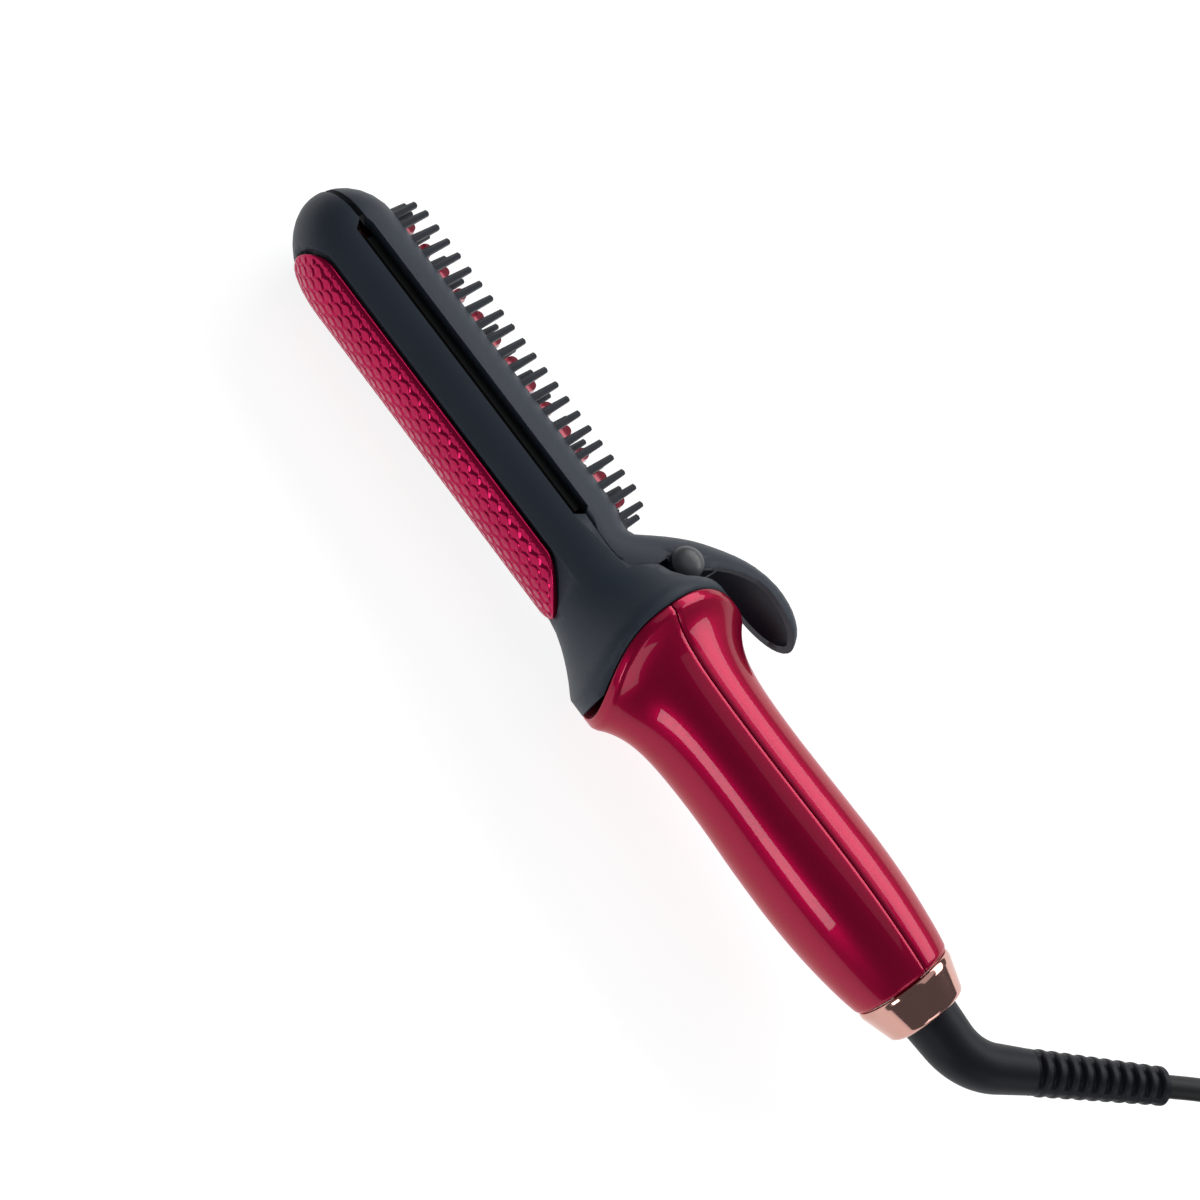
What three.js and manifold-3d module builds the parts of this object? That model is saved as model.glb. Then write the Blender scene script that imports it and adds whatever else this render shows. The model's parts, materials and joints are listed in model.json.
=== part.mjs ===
// A heated hair-styling brush: a round barrel with a scaled curling plate below, a slot
// between two straightening plates, and a sprung comb arm above, on a shelled handle with a
// swivelling cord. Millimetres. The tool is drawn with x from the nose to the cord, y towards
// the lever and the teeth, z towards the visible pin head, and then laid on its side.
import * as THREE from 'three';
import { ParametricGeometry } from 'three/addons/geometries/ParametricGeometry.js';
import { mergeVertices } from 'three/addons/utils/BufferGeometryUtils.js';
import Module from 'manifold-3d';

const wasm = await Module();
wasm.setup();

// ---- driving sizes -------------------------------------------------------------------------
const gap = 0.3;              // air between pieces that touch

const barrelRadius = 17.5;    // lower shell
const barrelEnd = 138;        // where the neck starts to flare
const noseSide = 17.6;        // length of the nose's rounding, seen from above
const noseChin = 28;          // the longer rounding under the nose
const barrelWall = 2.2;

const armRadiusNose = barrelRadius - 0.4;   // comb arm, which tapers towards its heel
const armRadiusHeel = barrelRadius - 1.1;
const armWall = 2.4;

const slotStart = 20.8;       // slot between the two straightening plates
const slotEnd = 121;
const slotFloor = -2.4;       // lip of the lower shell
const slotRoof = 3.3;         // lip of the arm
const noseSlitFloor = 0.3;    // the narrower slit round the nose
const noseSlitRoof = 2.4;
const heelSeam = 0.4;         // parting line behind the slot

const plateHalfWidth = barrelRadius - 5.5;   // straightening plates
const plateThickness = 3.2;
const plateMeet = 0.45;       // height at which the two plates meet

const scaleProud = 0.7;       // curling plate above the lower shell
const scaleThickness = 1.6;
const scaleHalfWidth = barrelRadius - 5;
const scaleStart = 13.5;
const scaleEnd = 139.2;

const collarRadius = 26.1;    // guard between barrel and handle
const collarSweep = 10.6;     // how far its edge is swept back above and below
const collarBand = 153.9;     // front of the plain band, at the side
const collarEdge = 156.5;     // where black meets red, at the side
const bezelEdge = 159.3;      // back of the red bezel, at the side

const handleEnd = 272.9;
const handleWall = 2.2;
const spigotRadius = 13.5;    // tube that carries the barrel into the handle
const spigotEnd = 186;
const boreRadius = 8.5;       // wire way through the neck

const hingeX = 148.8;
const hingeY = 18.6;
const pinRadius = 2;
const earRadius = 4.9;
const lugRadius = 4.6;
const lugOuter = 8.4;         // the neck's two lugs, each side of the spring
const lugInner = 4.6;
const leverHalfWidth = 12;
const leverTip = 185;
const leverRim = 34.9;
const leverCrown = 41.5;
const leverWall = 2.2;

const combHalfWidth = barrelRadius - 7.7;
const toothPitch = 5.27;
const toothRows = combHalfWidth - 1.8;   // outer rows, from the centre line
const toothCount = 20;
const toothStart = 21.8;
const toothTip = armRadiusNose + 7.1;
const toothRadius = 1.25;
const pinPitch = 8.45;        // inner pins and fins
const pinRows = 4;
const pinCount = 13;
const pinStart = 18;
const pinTip = armRadiusNose + 5.1;
const finLead = 2.1;          // each fin stands this far behind its pins
const finLength = 3.8;
const finThickness = 2.3;
const finTip = armRadiusNose + 4.7;
const combStart = 11.5;
const combEnd = 131;

const ringEnd = handleEnd + 11.5;
const ringSmallRadius = 11.4;
const ringWall = 1.6;
const bootRadius = 8.2;
const bootBendStart = ringEnd + 8.1;
const bootBendRadius = 19;
const bootBend = 47.5 * Math.PI / 180;
const bootPlain = 10.2;       // plain length between the bend and the ribs
const reliefLength = 40.7;
const reliefRadius = 6.4;
const reliefTipRadius = 5.3;
const ribCount = 10;
const spindleRadius = 5.4;    // the boot's inner end, which turns in the handle
const spindleStart = handleEnd - 18.9;

const cordRadius = 3.2;
const coilRadius = 32;        // middle of the turns
const coilHalfWidth = 10.5;
const coilHeight = 20;

// ---- helpers -------------------------------------------------------------------------------
const { abs, cos, sin, sqrt, exp, max, min, pow, round, PI } = Math;

function solid(geometry) {
  const bare = geometry.clone();
  bare.deleteAttribute('normal');
  bare.deleteAttribute('uv');
  const merged = mergeVertices(bare, 1e-4);
  const corners = merged.index.array;
  const kept = [];
  for (let i = 0; i < corners.length; i += 3) {
    const [a, b, c] = corners.slice(i, i + 3);
    if (a !== b && b !== c && c !== a) kept.push(a, b, c);
  }
  const made = new wasm.Manifold(new wasm.Mesh({
    numProp: 3,
    vertProperties: new Float32Array(merged.attributes.position.array),
    triVerts: new Uint32Array(kept),
  }));
  return made;
}

function surface(made) {
  const mesh = made.simplify(0.03).getMesh();
  const geometry = new THREE.BufferGeometry();
  geometry.setAttribute('position', new THREE.BufferAttribute(mesh.vertProperties, mesh.numProp));
  geometry.setIndex(new THREE.BufferAttribute(mesh.triVerts, 1));
  geometry.computeVertexNormals();
  return geometry;
}

function union(pieces) {
  return pieces.reduce((whole, piece) => whole.add(piece));
}

function points(pairs) {
  return pairs.map(([x, y]) => new THREE.Vector2(x, y));
}

// Straight blend through a few [x, value] knots.
function follow(knots, x) {
  const last = knots.length - 1;
  if (x <= knots[0][0]) return knots[0][1];
  if (x >= knots[last][0]) return knots[last][1];
  const next = knots.findIndex(([place]) => place > x);
  const [x0, y0] = knots[next - 1];
  const [x1, y1] = knots[next];
  return y0 + (y1 - y0) * (x - x0) / (x1 - x0);
}

// Smooth curve through the same kind of knots.
function flow(knots, x) {
  const curve = flow.made.get(knots) ?? new THREE.SplineCurve(points(knots)).getPoints(200);
  flow.made.set(knots, curve);
  return follow(curve.map((place) => [place.x, place.y]), x);
}
flow.made = new Map();

function steps(from, to, count) {
  return Array.from({ length: count + 1 }, (_, i) => from + (to - from) * i / count);
}

// A closed skin over sections across x: outline(x, share) is a point [y, z] of the section.
function loft(stations, around, outline) {
  const rows = stations.length + 1;
  const middle = (x) => {
    const ring = steps(0, 1, 8).slice(1).map((share) => outline(x, share));
    return [0, 1].map((k) => ring.reduce((sum, point) => sum + point[k], 0) / ring.length);
  };
  const place = (across, along, target) => {
    const row = round(along * rows);
    const x = stations[min(max(row - 1, 0), stations.length - 1)];
    const [y, z] = row === 0 || row === rows ? middle(x) : outline(x, across % 1);
    target.set(x, y, z);
  };
  return solid(new ParametricGeometry(place, around, rows));
}

// A loft of polar sections: radius(x, angle), angle from +y towards +z.
function body(stations, around, radius) {
  return loft(stations, around, (x, share) => {
    const angle = share * 2 * PI;
    const r = radius(x, angle);
    return [r * cos(angle), r * sin(angle)];
  });
}

// An outline in x and y, extruded evenly to both sides of z = middle.
function prism(outline, width, middle = 0) {
  const shape = outline instanceof THREE.Shape ? outline : new THREE.Shape(points(outline));
  const geometry = new THREE.ExtrudeGeometry(shape, {
    depth: width, bevelEnabled: false, curveSegments: 10,
  });
  return solid(geometry.translate(0, 0, middle - width / 2));
}

// An outline in x and z, extruded from y = low to y = high.
function slab(outline, low, high) {
  const shape = outline instanceof THREE.Shape ? outline : new THREE.Shape(points(outline));
  const geometry = new THREE.ExtrudeGeometry(shape, {
    depth: high - low, bevelEnabled: false, curveSegments: 10,
  });
  return solid(geometry.rotateX(PI / 2).translate(0, high, 0));
}

function box(x0, x1, y0, y1, z0, z1) {
  const geometry = new THREE.BoxGeometry(x1 - x0, y1 - y0, z1 - z0);
  return solid(geometry.translate((x0 + x1) / 2, (y0 + y1) / 2, (z0 + z1) / 2));
}

// A turned piece on the x axis; the profile gives [x, radius] and starts and ends on the axis.
function turned(profile, around = 32) {
  const geometry = new THREE.LatheGeometry(points(profile.map(([x, r]) => [r, x])), around);
  return solid(geometry.rotateZ(-PI / 2));
}

// A round bar along z at (x, y).
function crossBar(x, y, radius, z0, z1, around = 28) {
  const geometry = new THREE.CylinderGeometry(radius, radius, z1 - z0, around);
  return solid(geometry.rotateX(PI / 2).translate(x, y, (z0 + z1) / 2));
}

// A round tube that follows a list of points.
function tube(route, radius, sides, stepsAlong) {
  const line = new THREE.CatmullRomCurve3(route.map((place) => new THREE.Vector3(...place)));
  const section = new THREE.Shape();
  section.absarc(0, 0, radius, 0, 2 * PI, false);
  const geometry = new THREE.ExtrudeGeometry(section, {
    steps: stepsAlong, bevelEnabled: false, extrudePath: line, curveSegments: sides / 2,
  });
  return solid(geometry);
}

// A long outline with round ends, from x0 to x1.
function roundEnded(x0, x1, halfWidth) {
  const shape = new THREE.Shape();
  shape.absarc(x1 - halfWidth, 0, halfWidth, -PI / 2, PI / 2, false);
  shape.absarc(x0 + halfWidth, 0, halfWidth, PI / 2, 3 * PI / 2, false);
  return shape;
}

// ---- outer forms ---------------------------------------------------------------------------
const far = 60;               // past everything, for cutting tools

function rounded(x, length) {
  const left = max(0, 1 - max(x, 0) / length);
  return sqrt(max(0, 1 - left * left));
}

function armRadius(x) {
  const taper = armRadiusNose + (armRadiusHeel - armRadiusNose) * x / barrelEnd;
  return taper * rounded(x, noseSide);
}

// Swept saddle edges: every edge of the collar lies further back above and below.
function swept(start, y, more = 0) {
  return start + (collarSweep + more) * pow(min(1, abs(y) / collarRadius), 2.8);
}

const gripTop = [
  [150, 17.6], [190, 17.5], [206, 17.5], [226, 17.8], [242, 17.9], [253, 17.4],
  [263, 16.4], [268.5, 15.7], [276, 14.3],
];
const gripBelly = [
  [150, 18.1], [190, 18.1], [206, 18.2], [226, 18.9], [240, 18.9], [252, 18.2],
  [262.7, 16.9], [268, 16], [276, 14.1],
];

function lowerRadius(x, angle) {
  const side = barrelRadius * rounded(x, noseSide);
  const chin = barrelRadius * rounded(x, noseChin);
  const down = max(0, -cos(angle));
  const r = side * chin / sqrt(pow(side * down, 2) + chin * chin * (1 - down * down) + 1e-9);
  const y = collarRadius * cos(angle);
  const band = swept(collarBand, y, -3.4);
  const flare = min(1, max(0, (x - barrelEnd) / (band - barrelEnd)));
  return r + (collarRadius - barrelRadius) * pow(flare, 1.5);
}

function gripRadius(x, angle, inset = 0) {
  const up = (1 + cos(angle)) / 2;
  const grip = flow(gripTop, x) * up + flow(gripBelly, x) * (1 - up);
  const behind = x - swept(bezelEdge, collarRadius * cos(angle), 1.1);
  const flare = exp(-max(0, behind) / 8);
  return grip + (collarRadius - grip) * flare - inset;
}

// The region of the x-y plane in front of a swept edge.
function beforeEdge(start) {
  const edge = steps(-far, far, 48).map((y) => [swept(start, y), y]);
  return prism([[-20, far], [-20, -far], ...edge], 2 * far);
}

// ---- lower shell with neck and collar ------------------------------------------------------
const noseStations = [0, 0.25, 0.8, 1.8, 3.2, 5, 7.5, 10.5, 14, 17.6, 22, 28];
const neckStations = [138, 142, 146, 149, 151.5, 153.5, 155, 156.5, 158, 159.5, 161, 163, 168];

// Top edge of the lower shell: nose slit, slot lip, heel seam, then up the neck to the collar.
const shellTop = [
  [-20, noseSlitFloor], [slotStart - 2.4, noseSlitFloor], [slotStart, slotFloor],
  [slotEnd, slotFloor], [slotEnd + 2, heelSeam + 0.4], [130, heelSeam], [135, heelSeam - 0.2],
  [139.4, heelSeam + 0.5], [141.6, 2.3], [143.6, 6], [145.4, 8.6], [149, 9.2], [152.4, 11.4],
  [154.6, 15], [156.4, 19], [158.4, 23.5], [160, far],
];

function underTop(lift = 0) {
  return [[-20, -far], ...shellTop.map(([x, y]) => [x, y + lift]), [far * 4, far], [far * 4, -far]];
}

const scaleOutline = new THREE.Shape();
scaleOutline.moveTo(scaleStart, 0);
scaleOutline.bezierCurveTo(
  scaleStart, 6.5, scaleStart + 4, scaleHalfWidth, scaleStart + 12, scaleHalfWidth);
scaleOutline.lineTo(scaleEnd - 14, scaleHalfWidth);
scaleOutline.bezierCurveTo(
  scaleEnd - 9, scaleHalfWidth, scaleEnd, scaleHalfWidth / 2, scaleEnd, 0);
scaleOutline.bezierCurveTo(
  scaleEnd, -scaleHalfWidth / 2, scaleEnd - 9, -scaleHalfWidth, scaleEnd - 14, -scaleHalfWidth);
scaleOutline.lineTo(scaleStart + 12, -scaleHalfWidth);
scaleOutline.bezierCurveTo(
  scaleStart + 4, -scaleHalfWidth, scaleStart, -6.5, scaleStart, 0);

// The curling plate's outline drawn smaller or larger all round.
function scaleOutlineBy(more) {
  const middleX = (scaleStart + scaleEnd) / 2;
  const long = 1 + 2 * more / (scaleEnd - scaleStart);
  const wide = 1 + more / scaleHalfWidth;
  const ring = scaleOutline.getPoints(7);
  return ring.map((point) => [middleX + (point.x - middleX) * long, point.y * wide]);
}

const lowerStations = [...noseStations, ...neckStations];
const scaleStations = [...noseStations, 60, 100, barrelEnd, 142, 146];
const scaleOuter = body(scaleStations, 44, (x, angle) => lowerRadius(x, angle) + scaleProud);
const scaleInner = body(
  scaleStations, 44, (x, angle) => max(0.01, lowerRadius(x, angle) + scaleProud - scaleThickness));
const scalePocket = body(
  scaleStations, 44,
  (x, angle) => max(0.01, lowerRadius(x, angle) + scaleProud - scaleThickness - gap));

function makeCurlingPlate() {
  return scaleOuter.subtract(scaleInner).intersect(slab(scaleOutlineBy(0), -far, -2));
}

// The hinge lugs and the neck under them.
function makeLug(side) {
  const middle = side * (lugInner + lugOuter) / 2;
  const web = [
    [hingeX - lugRadius, hingeY], [hingeX - 8, 4], [hingeX + 10, 4], [hingeX + lugRadius, hingeY],
  ];
  const lug = prism(web, lugOuter - lugInner, middle);
  const eye = crossBar(hingeX, hingeY, lugRadius, middle - (lugOuter - lugInner) / 2,
    middle + (lugOuter - lugInner) / 2);
  return lug.add(eye);
}

const springRadius = 3.5;     // middle of the wire
const springWire = 0.55;
const springTurns = 4;
const springPitch = 1.7;

function makeHousing() {
  const outer = body(lowerStations, 44, lowerRadius);
  const spigot = turned([[150, 0], [150, spigotRadius], [spigotEnd, spigotRadius], [spigotEnd, 0]], 40);
  const skin = outer.intersect(prism(underTop(), 2 * far)).intersect(beforeEdge(collarEdge));
  const collarFloor = turned([[157, 0], [157, 30], [200, 30], [200, 0]])
    .subtract(turned([[156, 0], [156, spigotRadius], [201, spigotRadius], [201, 0]], 40));
  const trough = body([5, 6, 8, 11, 14, 18, 22, 28, slotEnd + 6], 32,
    (x, angle) => max(0.5, min(lowerRadius(x, angle), barrelRadius) - barrelWall - 1.4));
  const window = slab(scaleOutlineBy(-3.4), -far, -6);
  const pocket = body(scaleStations, 44, (x, angle) => lowerRadius(x, angle) + 5)
    .subtract(scalePocket).intersect(slab(scaleOutlineBy(gap), -far, -2));
  const wireWay = turned(
    [[slotEnd, 0], [slotEnd, boreRadius], [spigotEnd + 1, boreRadius], [spigotEnd + 1, 0]], 28);
  const springRoom = box(hingeX - 6.4, hingeX + 7, 11.4, far, -lugInner, lugInner);
  return skin.add(spigot)
    .subtract(collarFloor.intersect(prism([[165, far], [165, -far], [201, -far], [201, far]], 70)))
    .add(makeLug(1)).add(makeLug(-1))
    .subtract(trough.intersect(box(4, slotEnd + 6, -far, 4, -far, far)))
    .subtract(window.intersect(trough.add(box(20, slotEnd, -far, 0, -9, 9))))
    .subtract(pocket)
    .subtract(wireWay)
    .subtract(springRoom)
    .subtract(crossBar(hingeX, hingeY, pinRadius + gap, -far, far));
}

// ---- comb arm with its lever ---------------------------------------------------------------
const armCrown = [
  [124, armRadiusHeel], [132, 14.6], [137.3, 22.6], [142.9, 29.8], [148.5, 34.6],
  [154.2, 38], [159.9, 40.2], [165.6, 41.2], [171.4, leverCrown], [177.1, 40.8],
  [182, 38.7], [leverTip, leverRim + 0.2],
];
const armFoot = [
  [124, 0], [134, 0], [138, 1], [142.9, 6], [148.5, 16], [154.2, 25.6], [159.9, 31.4],
  [165.6, 34.4], [171.4, leverRim], [leverTip, leverRim],
];
const armWidth = [[124, armRadiusHeel], [132, 16.2], [138, 15.2], [143, 13.8], [148.5, 12.3],
  [154, leverHalfWidth], [168, leverHalfWidth]];

function leverWidth(x, wall) {
  const roundStart = leverTip - 17;
  const left = max(0, (x - roundStart) / (leverTip - wall - roundStart));
  return (flow(armWidth, min(x, roundStart)) - wall) * sqrt(max(0.0004, 1 - left * left));
}

// Half an ellipse standing on a flat foot.
function arch(width, foot, crown, share) {
  const turn = min(1, share / 0.96) * PI;
  return [foot + (crown - foot) * sin(turn), -width * cos(turn)];
}

function armSection(x, share, wall) {
  const onBarrel = x <= 124;
  const width = onBarrel ? armRadius(x) - wall : leverWidth(x, wall);
  const crown = onBarrel ? armRadius(x) : flow(armCrown, x);
  const foot = onBarrel ? 0 : flow(armFoot, x);
  return arch(max(0.05, width), foot - (wall ? 2 : 0), max(foot + 0.1, crown - wall), share);
}

const armStations = [
  0.05, 0.8, 1.8, 3.2, 5, 7.5, 10.5, 14, 17.6, 124, 128, 131, 133.5, 136, 138.5, 141, 143.5, 146,
  148.5, 151, 154, 157, 160, 164, 168, 171, 174, 176.5, 179, 181, 182.6, 184, 184.8, leverTip,
];

// Everything above the arm's own lower edge.
const armEdge = [
  [-20, noseSlitRoof], [slotStart - 2, noseSlitRoof + 0.2], [slotStart, slotRoof],
  [slotEnd, slotRoof], [slotEnd + 1.6, heelSeam + 0.4 + gap], [130, heelSeam + gap],
  [135, heelSeam - 0.2 + gap], [139.2, heelSeam + 0.5 + gap + 0.1], [141.2, 2.8], [143.1, 6.4],
  [144.5, 9], [144.5, 14.5], [160, 14.5],
];

function makeArm() {
  const outer = loft(armStations, 32, (x, share) => armSection(x, share, 0));
  const above = prism([...armEdge, [far * 4, 14.5], [far * 4, far], [-20, far]], 2 * far);
  const ears = [-1, 1].map((side) => crossBar(hingeX, hingeY, earRadius,
    side > 0 ? lugOuter + gap : -leverHalfWidth - 0.3, side > 0 ? leverHalfWidth + 0.3 : -lugOuter - gap));
  const hollowEnd = leverTip - leverWall;
  const hollowStations = armStations.filter((x) => x >= 128 && x < hollowEnd - 0.3);
  const hollow = loft([...hollowStations, hollowEnd - 0.2, hollowEnd], 24,
    (x, share) => armSection(x, share, leverWall));
  const trough = loft([6, 7, 9, 12, 16, 20, slotEnd + 3, slotEnd + 8], 30, (x, share) => {
    const crown = max(0.6, armRadius(x) - armWall - 1.2);
    const rise = min(0.9, (plateMeet + gap / 2 + plateThickness + 2) / (crown + 2));
    const clear = (plateHalfWidth + gap / 3) / sqrt(1 - rise * rise);
    const wide = min(armRadius(x) - armWall, max(plateHalfWidth + 1.2, x > slotStart - 2 ? clear : 0));
    return arch(max(0.5, wide), -2, crown, share);
  });
  const combHole = slab(roundEnded(combStart - gap, combEnd + gap, combHalfWidth + gap), 8, far);
  const combRoom = combHole.intersect(box(0, combEnd + 1, 8, 21, -far, far));
  const headSeat = [-1, 1].map((side) => crossBar(hingeX, hingeY, 5.2,
    side > 0 ? 12.6 : -16, side > 0 ? 16 : -12.6));
  return outer.intersect(above).subtract(hollow).add(union(ears))
    .subtract(trough)
    .subtract(combRoom)
    .subtract(union(headSeat))
    .subtract(crossBar(hingeX, hingeY, pinRadius + gap, -far, far));
}

// ---- comb ----------------------------------------------------------------------------------
function tooth(x, z, base, tip, radius) {
  const top = radius * 0.82;
  const profile = [
    [base, 0], [base, radius * 1.15], [tip - top * 0.6, top], [tip, 0],
  ];
  const geometry = new THREE.LatheGeometry(points(profile.map(([y, r]) => [r, y])), 6);
  return solid(geometry.translate(x, 0, z));
}

const toothFoot = armRadiusNose - 4.5;
const outerTeeth = Array.from({ length: toothCount }, (_, i) => toothStart + i * toothPitch);
const innerPins = Array.from({ length: pinCount }, (_, i) => pinStart + i * pinPitch);

function makeComb() {
  const plan = slab(roundEnded(combStart, combEnd, combHalfWidth), 8, far);
  const stations = [10, 12, 14.5, 17.6, 124, 133];
  const cap = loft(stations, 28, (x, share) => {
    const r = armRadius(min(x, 124)) - (x > 124 ? 0.12 * (x - 124) : 0);
    return arch(r, 0, r, share);
  });
  const under = loft(stations, 20, (x, share) => {
    const r = armRadius(min(x, 124)) - 2.6 - (x > 124 ? 0.12 * (x - 124) : 0);
    return arch(r, -3, r, share);
  });
  const cover = cap.subtract(under).intersect(plan);
  const teeth = [];
  for (const side of [-1, 1]) {
    for (const x of outerTeeth) {
      const tip = toothTip - 0.008 * (x - toothStart);
      teeth.push(tooth(x, side * toothRows, toothFoot, tip, toothRadius));
    }
    for (const x of innerPins) {
      const tip = pinTip - 0.006 * (x - pinStart);
      teeth.push(tooth(x, side * pinRows, toothFoot + 1.3, tip, toothRadius * 0.9));
    }
    const [first, front] = [toothStart - 0.85 * toothPitch, toothStart - 1.35 * toothPitch];
    teeth.push(tooth(first, side * 6.6, toothFoot - 0.4, toothTip - 0.6, toothRadius));
    teeth.push(tooth(front, side * 2.9, toothFoot - 0.6, toothTip - 1.4, toothRadius));
    teeth.push(tooth(combEnd - 4.2, side * 6, toothFoot - 0.4, toothTip - 1.3, toothRadius));
  }
  teeth.push(tooth(combEnd - 2.6, 0, toothFoot + 0.8, toothTip - 1.4, toothRadius));
  const finHoles = innerPins.map((x) => box(
    x + finLead - finLength / 2 - gap, x + finLead + finLength / 2 + gap, 10, 20,
    -finThickness / 2 - gap, finThickness / 2 + gap));
  return cover.add(union(teeth)).subtract(union(finHoles));
}

// The heated comb plate: a bar along the arm with a row of round-topped fins.
const combPlateTop = armRadiusNose - 5.3;
const combPlateFloor = 4.2;
const combPlateHalfWidth = 6.4;
const heaterThickness = 2.4;
const heaterHalfWidth = 4.6;

function makeCombPlate() {
  const bar = box(slotStart - 6, slotEnd + 1, combPlateFloor, combPlateTop,
    -combPlateHalfWidth, combPlateHalfWidth);
  const fins = innerPins.map((x) => {
    const shape = new THREE.Shape();
    const middle = x + finLead;
    shape.moveTo(middle - finLength / 2, combPlateTop - 1);
    shape.lineTo(middle + finLength / 2, combPlateTop - 1);
    shape.lineTo(middle + finLength / 2, finTip - finLength / 2);
    shape.absarc(middle, finTip - finLength / 2, finLength / 2, 0, PI, false);
    return prism(shape, finThickness);
  });
  const slot = box(0, barrelEnd, upperHeaterY - heaterThickness / 2 - gap,
    upperHeaterY + heaterThickness / 2 + gap, -heaterHalfWidth - gap, heaterHalfWidth + gap);
  return bar.add(union(fins)).subtract(slot);
}

const upperHeaterY = combPlateTop - 3.8;
const lowerHeaterY = -7.4;
const plateStart = slotStart + 1.4;
const plateStop = slotEnd - 1.4;

// A straightening plate with slightly rounded long edges; side is +1 for the upper one.
function makeStraightPlate(side) {
  const face = plateMeet + side * gap / 2;
  const back = face + side * plateThickness;
  const corner = 0.6;
  const section = [
    [plateHalfWidth - corner, face], [plateHalfWidth, face + side * corner],
    [plateHalfWidth, back], [-plateHalfWidth, back],
    [-plateHalfWidth, face + side * corner], [-plateHalfWidth + corner, face],
  ];
  const ring = side > 0 ? section : section.reverse();
  const geometry = new THREE.ExtrudeGeometry(new THREE.Shape(points(ring)), {
    depth: plateStop - plateStart, bevelEnabled: false,
  });
  return solid(geometry.rotateY(PI / 2).translate(plateStart, 0, 0));
}

// The aluminium core that carries heat from the lower heater to both lower plates.
function makeCore() {
  const top = plateMeet - gap / 2 - plateThickness - gap;
  const clear = barrelWall + 1.4 + gap;
  const form = body([slotStart, 24, 28, slotEnd - 1], 44,
    (x, angle) => min(lowerRadius(x, angle), barrelRadius) - clear);
  const slot = box(0, barrelEnd, lowerHeaterY - heaterThickness / 2 - gap,
    lowerHeaterY + heaterThickness / 2 + gap, -heaterHalfWidth - gap, heaterHalfWidth + gap);
  const wireWay = box(0, barrelEnd, top - 1.8, top + 1, -2.2, 2.2);
  return form.intersect(box(slotStart, slotEnd, -far, top, -far, far)).subtract(slot)
    .subtract(wireWay);
}

function makeHeater(y) {
  return box(plateStart, plateStop - 2, y - heaterThickness / 2, y + heaterThickness / 2,
    -heaterHalfWidth, heaterHalfWidth);
}

// ---- hinge ---------------------------------------------------------------------------------
const pinHalfLength = 12.1;

function makePin() {
  return crossBar(hingeX, hingeY, pinRadius, -pinHalfLength, pinHalfLength, 20);
}

function makePinHead(side) {
  const seat = 12.6 + gap;
  const profile = [[seat, 0], [seat, 4.9], [seat + 0.9, 4.8], [seat + 2, 3.9], [seat + 2.7, 2.3],
    [seat + 2.9, 0]];
  const geometry = new THREE.LatheGeometry(points(profile.map(([z, r]) => [r, z])), 28);
  return solid(geometry.rotateX(side * PI / 2).translate(hingeX, hingeY, 0));
}

function makeSpring() {
  const startAngle = -PI * 0.55;
  const coil = steps(0, springTurns, springTurns * 12).map((turn) => {
    const angle = startAngle + turn * 2 * PI;
    return [hingeX + springRadius * cos(angle), hingeY + springRadius * sin(angle),
      springPitch * (turn - springTurns / 2)];
  });
  const first = coil[0];
  const last = coil[coil.length - 1];
  const foot = [first[0] - 4.6, first[1] - 0.4, first[2]];
  const knee = [hingeX + springRadius, hingeY - 1, last[2]];
  const hand = [hingeX + 5.4, flow(armCrown, hingeX + 5.4) - leverWall - 2.6, last[2]];
  return tube([foot, ...coil, knee, hand], springWire, 6, 76);
}

// ---- handle --------------------------------------------------------------------------------
const gripStations = [
  150, 157, 159.5, 161.5, 163.5, 165.5, 168, 170.5, 173, 176, 180, 185, 191, 199, 210, 222, 234,
  244, spindleStart, handleEnd - 10.9, handleEnd - 4.9, handleEnd,
];

function makeShell(side) {
  const outer = body(gripStations, 44, gripRadius);
  const innerStations = [
    168, 172, 176, 180, 185, 191, 199, 210, 222, 234, 244, spindleStart, handleEnd - 10.9,
    handleEnd - 5.9,
  ];
  const inner = body(innerStations, 28, (x, angle) => gripRadius(x, angle, handleWall));
  const mouth = turned([[140, 0], [140, spigotRadius + gap], [spigotEnd + 2, spigotRadius + gap],
    [spigotEnd + 2, 0]], 40);
  const tail = turned([
    [handleEnd - 12.9, 0], [handleEnd - 12.9, spindleRadius + gap],
    [handleEnd + 7.1, spindleRadius + gap], [handleEnd + 7.1, 0],
  ]);
  const half = side > 0
    ? box(100, handleEnd + 27.1, gap / 2, far, -far, far)
    : box(100, handleEnd + 27.1, -far, -gap / 2, -far, far);
  let shell = outer.subtract(beforeEdge(collarEdge + gap)).intersect(half)
    .subtract(inner).subtract(mouth).subtract(tail);
  if (side > 0) {
    shell = shell.subtract(slab(roundEnded(switchX - 8, switchX + 8, 3.2), 10, far));
  }
  return shell;
}

// ---- switch and board ----------------------------------------------------------------------
const switchX = 216;
const switchTravel = 4;

function makeSlider() {
  const deck = flow(gripTop, switchX);
  const knob = slab(roundEnded(switchX - 8 + gap, switchX + 8 - gap - switchTravel, 3.2 - gap), 13, deck + 0.8);
  const skirt = box(switchX - 9.5, switchX + 5.5, 11.8, 13.8, -4.6, 4.6);
  const ridges = [-3, -1, 1, 3].map((along) => box(
    switchX - 2 + along - 0.35, switchX - 2 + along + 0.35, deck, deck + 1.2, -2.4, 2.4));
  return knob.add(skirt).add(union(ridges));
}

const boardY = 6;

function makeBoard() {
  return box(192, 240, boardY, boardY + 1.6, -10, 10);
}

function makeSwitchBody() {
  return box(switchX - 9, switchX + 9, boardY + 1.6 + gap, 11.8 - gap, -5, 5);
}

// ---- end ring, swivel and boot -------------------------------------------------------------
const flangeRadius = 9.8;
const flangeStart = handleEnd + 2.7;
const flangeEnd = flangeStart + 5;

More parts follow.
